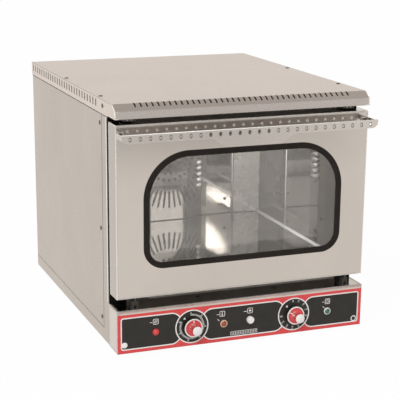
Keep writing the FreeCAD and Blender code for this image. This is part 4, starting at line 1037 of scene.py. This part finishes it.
def hole_rims(maker):
    # Dark rings of painted shade round the handle's holes
    low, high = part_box("door_handle")
    z = high.z - HOLE_DROP * MM
    first = low.x + HOLE_MARGIN * MM
    step = (high.x - low.x - 2 * HOLE_MARGIN * MM) / (HOLE_COUNT - 1)
    wide, tall = (1 + shade_width / HOLE_RADIUS for shade_width in HOLE_SHADE)
    front, back = (low.y + depth * MM for depth in HOLE_SHADE_DEPTHS)
    for index in range(HOLE_COUNT):
        x = first + index * step
        inner = circle_outline(x, z, (HOLE_RADIUS - HOLE_SHADE_OVERLAP) * MM, HOLE_STEPS)
        outer = [(x + (px - x) * wide, z + (pz - z) * tall) for px, pz in inner]
        add_ring(maker, outer, inner, front, back)


piece("handle_hole_shade", hole_rims, [dark_plate], "door")


def cavity_beads(maker):
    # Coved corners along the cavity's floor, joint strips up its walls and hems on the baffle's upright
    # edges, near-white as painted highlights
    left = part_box("cavity_left_wall")[1].x
    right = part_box("cavity_right_wall")[0].x
    floor_low, floor_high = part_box("cavity_floor")
    baffle_low, baffle_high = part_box("fan_baffle")
    front = floor_low.y + COVE_INSET * MM
    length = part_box("air_guides")[0].y - front
    radius = COVE_RADIUS * MM
    wide, proud = (size * MM for size in WALL_JOINT_SIZE)
    for wall, sign in ((left, 1), (right, -1)):
        cove = [(0, 0, 0)] + [
            (sign * radius * (1 - math.cos(turn)), 0, radius * (1 - math.sin(turn)))
            for turn in arc_turns(90, ARC_STEPS)
        ]
        add_prism(maker, cove, (wall, front, floor_high.z), (0, length, 0))
        strip = [
            (sign * proud * math.sin(turn), wide * math.cos(turn), 0) for turn in arc_turns(180, ARC_STEPS)]
        rise = (0, 0, baffle_high.z - floor_high.z)
        add_prism(maker, strip, (wall, WALL_JOINT * MM, floor_high.z), rise)
    ring = [(x, y, 0) for x, y in circle_outline(0, 0, BEAD_RADIUS * MM, BEAD_STEPS)]
    rise = (0, 0, baffle_high.z - baffle_low.z)
    for x in (baffle_low.x, baffle_high.x):
        add_prism(maker, ring, (x, baffle_high.y - BEAD_INSET * MM, baffle_low.z), rise)


piece("cavity_beads", cavity_beads, [painted_highlight_steel])


def handle_hem(maker):
    # Rolled hem along the handle's upper edge, near-white as a painted highlight
    low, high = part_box("door_handle")
    hem = HEM_RADIUS * MM
    ring = [(0, y, z) for y, z in circle_outline(0, 0, hem, BEAD_STEPS)]
    start = low.x + HEM_END * MM
    run = (high.x - HEM_END * MM - start, 0, 0)
    add_prism(maker, ring, (start, low.y + hem - HEM_SINK * MM, high.z), run)


piece("handle_hem", handle_hem, [painted_highlight_steel], "door")


def cover_corners(maker):
    # Painted highlights on the cover's front corners, up the lip and along the slope, as near-white beads
    low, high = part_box("top_cover")
    lip = Vector((0, low.y, high.z - LIP_DROP * MM))
    fold = Vector((0, low.y, high.z - CHAMFER[1] * MM))
    crest = Vector((0, low.y + CHAMFER[0] * MM, high.z))
    across = Vector((1, 0, 0))
    for x in (low.x, high.x):
        for start, end in ((lip, fold), (fold, crest)):
            run = end - start
            beside = run.cross(across).normalized()
            circle = circle_outline(0, 0, CORNER_BEAD * MM, BEAD_STEPS)
            add_prism(maker, [across * a + beside * b for a, b in circle], start + across * x, run)


piece("cover_corners", cover_corners, [painted_highlight_steel])


def door_foot(maker):
    # The inner sheet's edge under the door's front
    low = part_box("door_outer_panel")[0]
    half, tall = (size * MM for size in FOOT_STRIP)
    corner = FOOT_STRIP_CORNER * MM
    front, back = (low.y + depth * MM for depth in FOOT_STRIP_DEPTHS)
    add_plate(maker, rounded_outline(-half, half, low.z - tall, low.z, corner, corner), front, back)


piece("door_foot", door_foot, [dark_plate], "door")


def baffle_hoods(maker):
    # Small pressed hoods on the sloping parts of the baffle, near-white as painted highlights
    low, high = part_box("fan_baffle")
    wide, tall, proud = (size * MM for size in HOOD_SIZE)
    drop = high.y - BAFFLE_SHEET * MM - low.y
    share = (HOOD_X - BAFFLE_FLAT) / (BAFFLE_FOLD - BAFFLE_FLAT)
    upright = Vector((0, 0, 1))
    for side in (-1, 1):
        along = Vector((side * (BAFFLE_FOLD - BAFFLE_FLAT) * MM, drop, 0)).normalized()
        outward = Vector((side * along.y, -abs(along.x), 0))
        for height in HOOD_HEIGHTS:
            middle = Vector((side * HOOD_X * MM, low.y + drop * share, base_z + height * MM))
            rings = []
            for tilt in (math.radians(angle) for angle in HOOD_TILTS):
                core = middle + outward * (proud * math.sin(tilt))
                rings.append([
                    maker.verts.new(core + along * (wide * a) + upright * (tall * b))
                    for a, b in circle_outline(0, 0, math.cos(tilt), HOOD_STEPS)])
            for first, second in zip(rings, rings[1:]):
                bridge(maker, first, second)
            maker.faces.new(rings[-1])


piece("baffle_hoods", baffle_hoods, [painted_highlight_steel])


def catch_rivets(maker):
    # Two rivets on the face of each door catch, near-white as painted highlights
    height = centre_of("door_catches").z
    for low, high in loose_parts("door_catches"):
        x = (low.x + high.x) / 2
        for offset in (-RIVET_PITCH / 2, RIVET_PITCH / 2):
            base = Vector((x + offset * MM, low.y, height))
            add_turned(maker, one_finish(RIVET_PROFILE), base, FRONT, RIVET_STEPS)


piece("catch_rivets", catch_rivets, [painted_highlight_steel])


# Camera, light, floor and background


def make_camera():
    turn, rise, roll = (math.radians(value) for value in (CAMERA_AZIMUTH, CAMERA_ELEVATION, CAMERA_ROLL))
    forward = Vector((-math.sin(turn) * math.cos(rise), math.cos(turn) * math.cos(rise), -math.sin(rise)))
    level = forward.cross(Vector((0, 0, 1))).normalized()
    upright = level.cross(forward)
    right = level * math.cos(roll) + upright * math.sin(roll)
    up = upright * math.cos(roll) - level * math.sin(roll)
    data = bpy.data.cameras.new("camera")
    data.sensor_width = CAMERA_SENSOR
    data.lens = CAMERA_LENS
    data.shift_x, data.shift_y = CAMERA_SHIFT
    data.clip_end = CAMERA_REACH
    camera = add_object("camera", data)
    axes = Matrix((right, up, -forward)).transposed().to_4x4()
    camera.matrix_world = Matrix.Translation(CAMERA_PLACE) @ axes
    bpy.context.scene.camera = camera


def make_sun():
    data = bpy.data.lights.new("sun", "SUN")
    data.energy = SUN_STRENGTH
    data.angle = math.radians(SUN_SPREAD)
    add_object("sun", data).rotation_euler = [math.radians(value) for value in SUN_TURN]


def make_softboxes():
    """Broad lamps on both sides of the front, and strips beside the camera that reach through the window."""
    for name, (place, size, roll, power) in SOFTBOXES.items():
        data = bpy.data.lights.new(name, "AREA")
        data.shape = "ELLIPSE"
        data.size, data.size_y = size
        data.energy = power
        softbox = add_object(name, data)
        aim = (Vector(SOFTBOX_AIM) - Vector(place)).to_track_quat("-Z", "Y").to_matrix().to_4x4()
        softbox.matrix_world = Matrix.Translation(place) @ aim @ Matrix.Rotation(math.radians(roll), 4, "Z")
        softbox.visible_camera = False


def make_cavity_lamp():
    """The soft light inside the cavity, which the polished walls don't mirror."""
    place, radius, power = CAVITY_LAMP
    data = bpy.data.lights.new("cavity_lamp", "POINT")
    data.shadow_soft_size = radius
    data.energy = power
    lamp = add_object("cavity_lamp", data)
    lamp.location = place
    lamp.visible_camera = False
    lamp.visible_glossy = False
    lamp.visible_transmission = False


def make_world():
    """White where it is seen, and where it is mirrored a studio, darker overhead and behind the camera."""
    world = bpy.data.worlds.new("studio")
    world.use_nodes = True
    sky = Nodes(world.node_tree)
    background = sky.tree.nodes["Background"]
    direction = sky.node("ShaderNodeTexCoord").outputs["Generated"]
    split = sky.node("ShaderNodeSeparateXYZ", {"Vector": direction})
    ramp = sky.node("ShaderNodeValToRGB", {"Fac": split.outputs["Z"]})
    for element, position, level in zip(ramp.color_ramp.elements, SKY_RAMP, (1.0, ZENITH_LEVEL)):
        element.position = position
        element.color = (*(level * part for part in MIRRORED_TINT), 1)
    path = sky.node("ShaderNodeLightPath").outputs
    seen = path["Is Camera Ray"]
    through = sky.math("MAXIMUM", seen, path["Is Transmission Ray"])
    sky.feed(background.inputs["Color"], sky.mix(through, ramp.outputs["Color"], (1, 1, 1, 1), "MIX"))
    front = sky.ranged(split.outputs["Y"], FRONT_RANGE, FRONT_LEVEL)
    sky.feed(background.inputs["Strength"], sky.math("MAXIMUM", front, seen))
    bpy.context.scene.world = world


def make_floor():
    """A pale floor, nearly white where it is seen, also in metal and glass, that keeps its shadows."""
    mesh = bpy.data.meshes.new("floor")
    half = FLOOR_SIZE / 2
    corners = [(-half, -half, 0), (half, -half, 0), (half, half, 0), (-half, half, 0)]
    mesh.from_pydata(corners, [], [(0, 1, 2, 3)])
    floor = add_object("floor", mesh)
    shader = Shader("floor", Roughness=0.9, Specular_IOR_Level=0.0)
    shader.colour(shader.noise(3.0), (FLOOR_COLOUR,) * 3, (FLOOR_COLOUR + FLOOR_SPECKLE,) * 3)
    path = shader.node("ShaderNodeLightPath").outputs
    seen = path["Is Camera Ray"]
    for kind in ("Is Glossy Ray", "Is Transmission Ray"):
        seen = shader.math("MAXIMUM", seen, path[kind])
    middle = (*FLOOR_PATCH, 0)
    away = shader.node("ShaderNodeVectorMath", {0: shader.place, 1: middle}, operation="DISTANCE")
    patch = shader.ranged(
        away.outputs["Value"], (0.0, FLOOR_PATCH_RADIUS), FLOOR_PATCH_LEVEL, interpolation_type="SMOOTHSTEP")
    dimmed = shader.node("ShaderNodeVectorMath", operation="SCALE")
    shader.feed(dimmed.inputs[0], MIRRORED_TINT)
    shader.feed(dimmed.inputs["Scale"], patch)
    white = shader.mix(path["Is Glossy Ray"], (1, 1, 1, 1), dimmed.outputs["Vector"], "MIX")
    surface = shader.node("ShaderNodeMixShader", {
        "Fac": shader.math("MULTIPLY", seen, FLOOR_WHITE_SHARE),
        1: shader.bsdf.outputs["BSDF"],
        2: shader.node("ShaderNodeEmission", {"Color": white}).outputs["Emission"],
    })
    shader.feed(shader.tree.nodes["Material Output"].inputs["Surface"], surface.outputs["Shader"])
    mesh.materials.append(shader.material)


make_camera()
make_sun()
make_softboxes()
make_cavity_lamp()
make_world()
make_floor()
bpy.context.scene.view_settings.view_transform = "Standard"
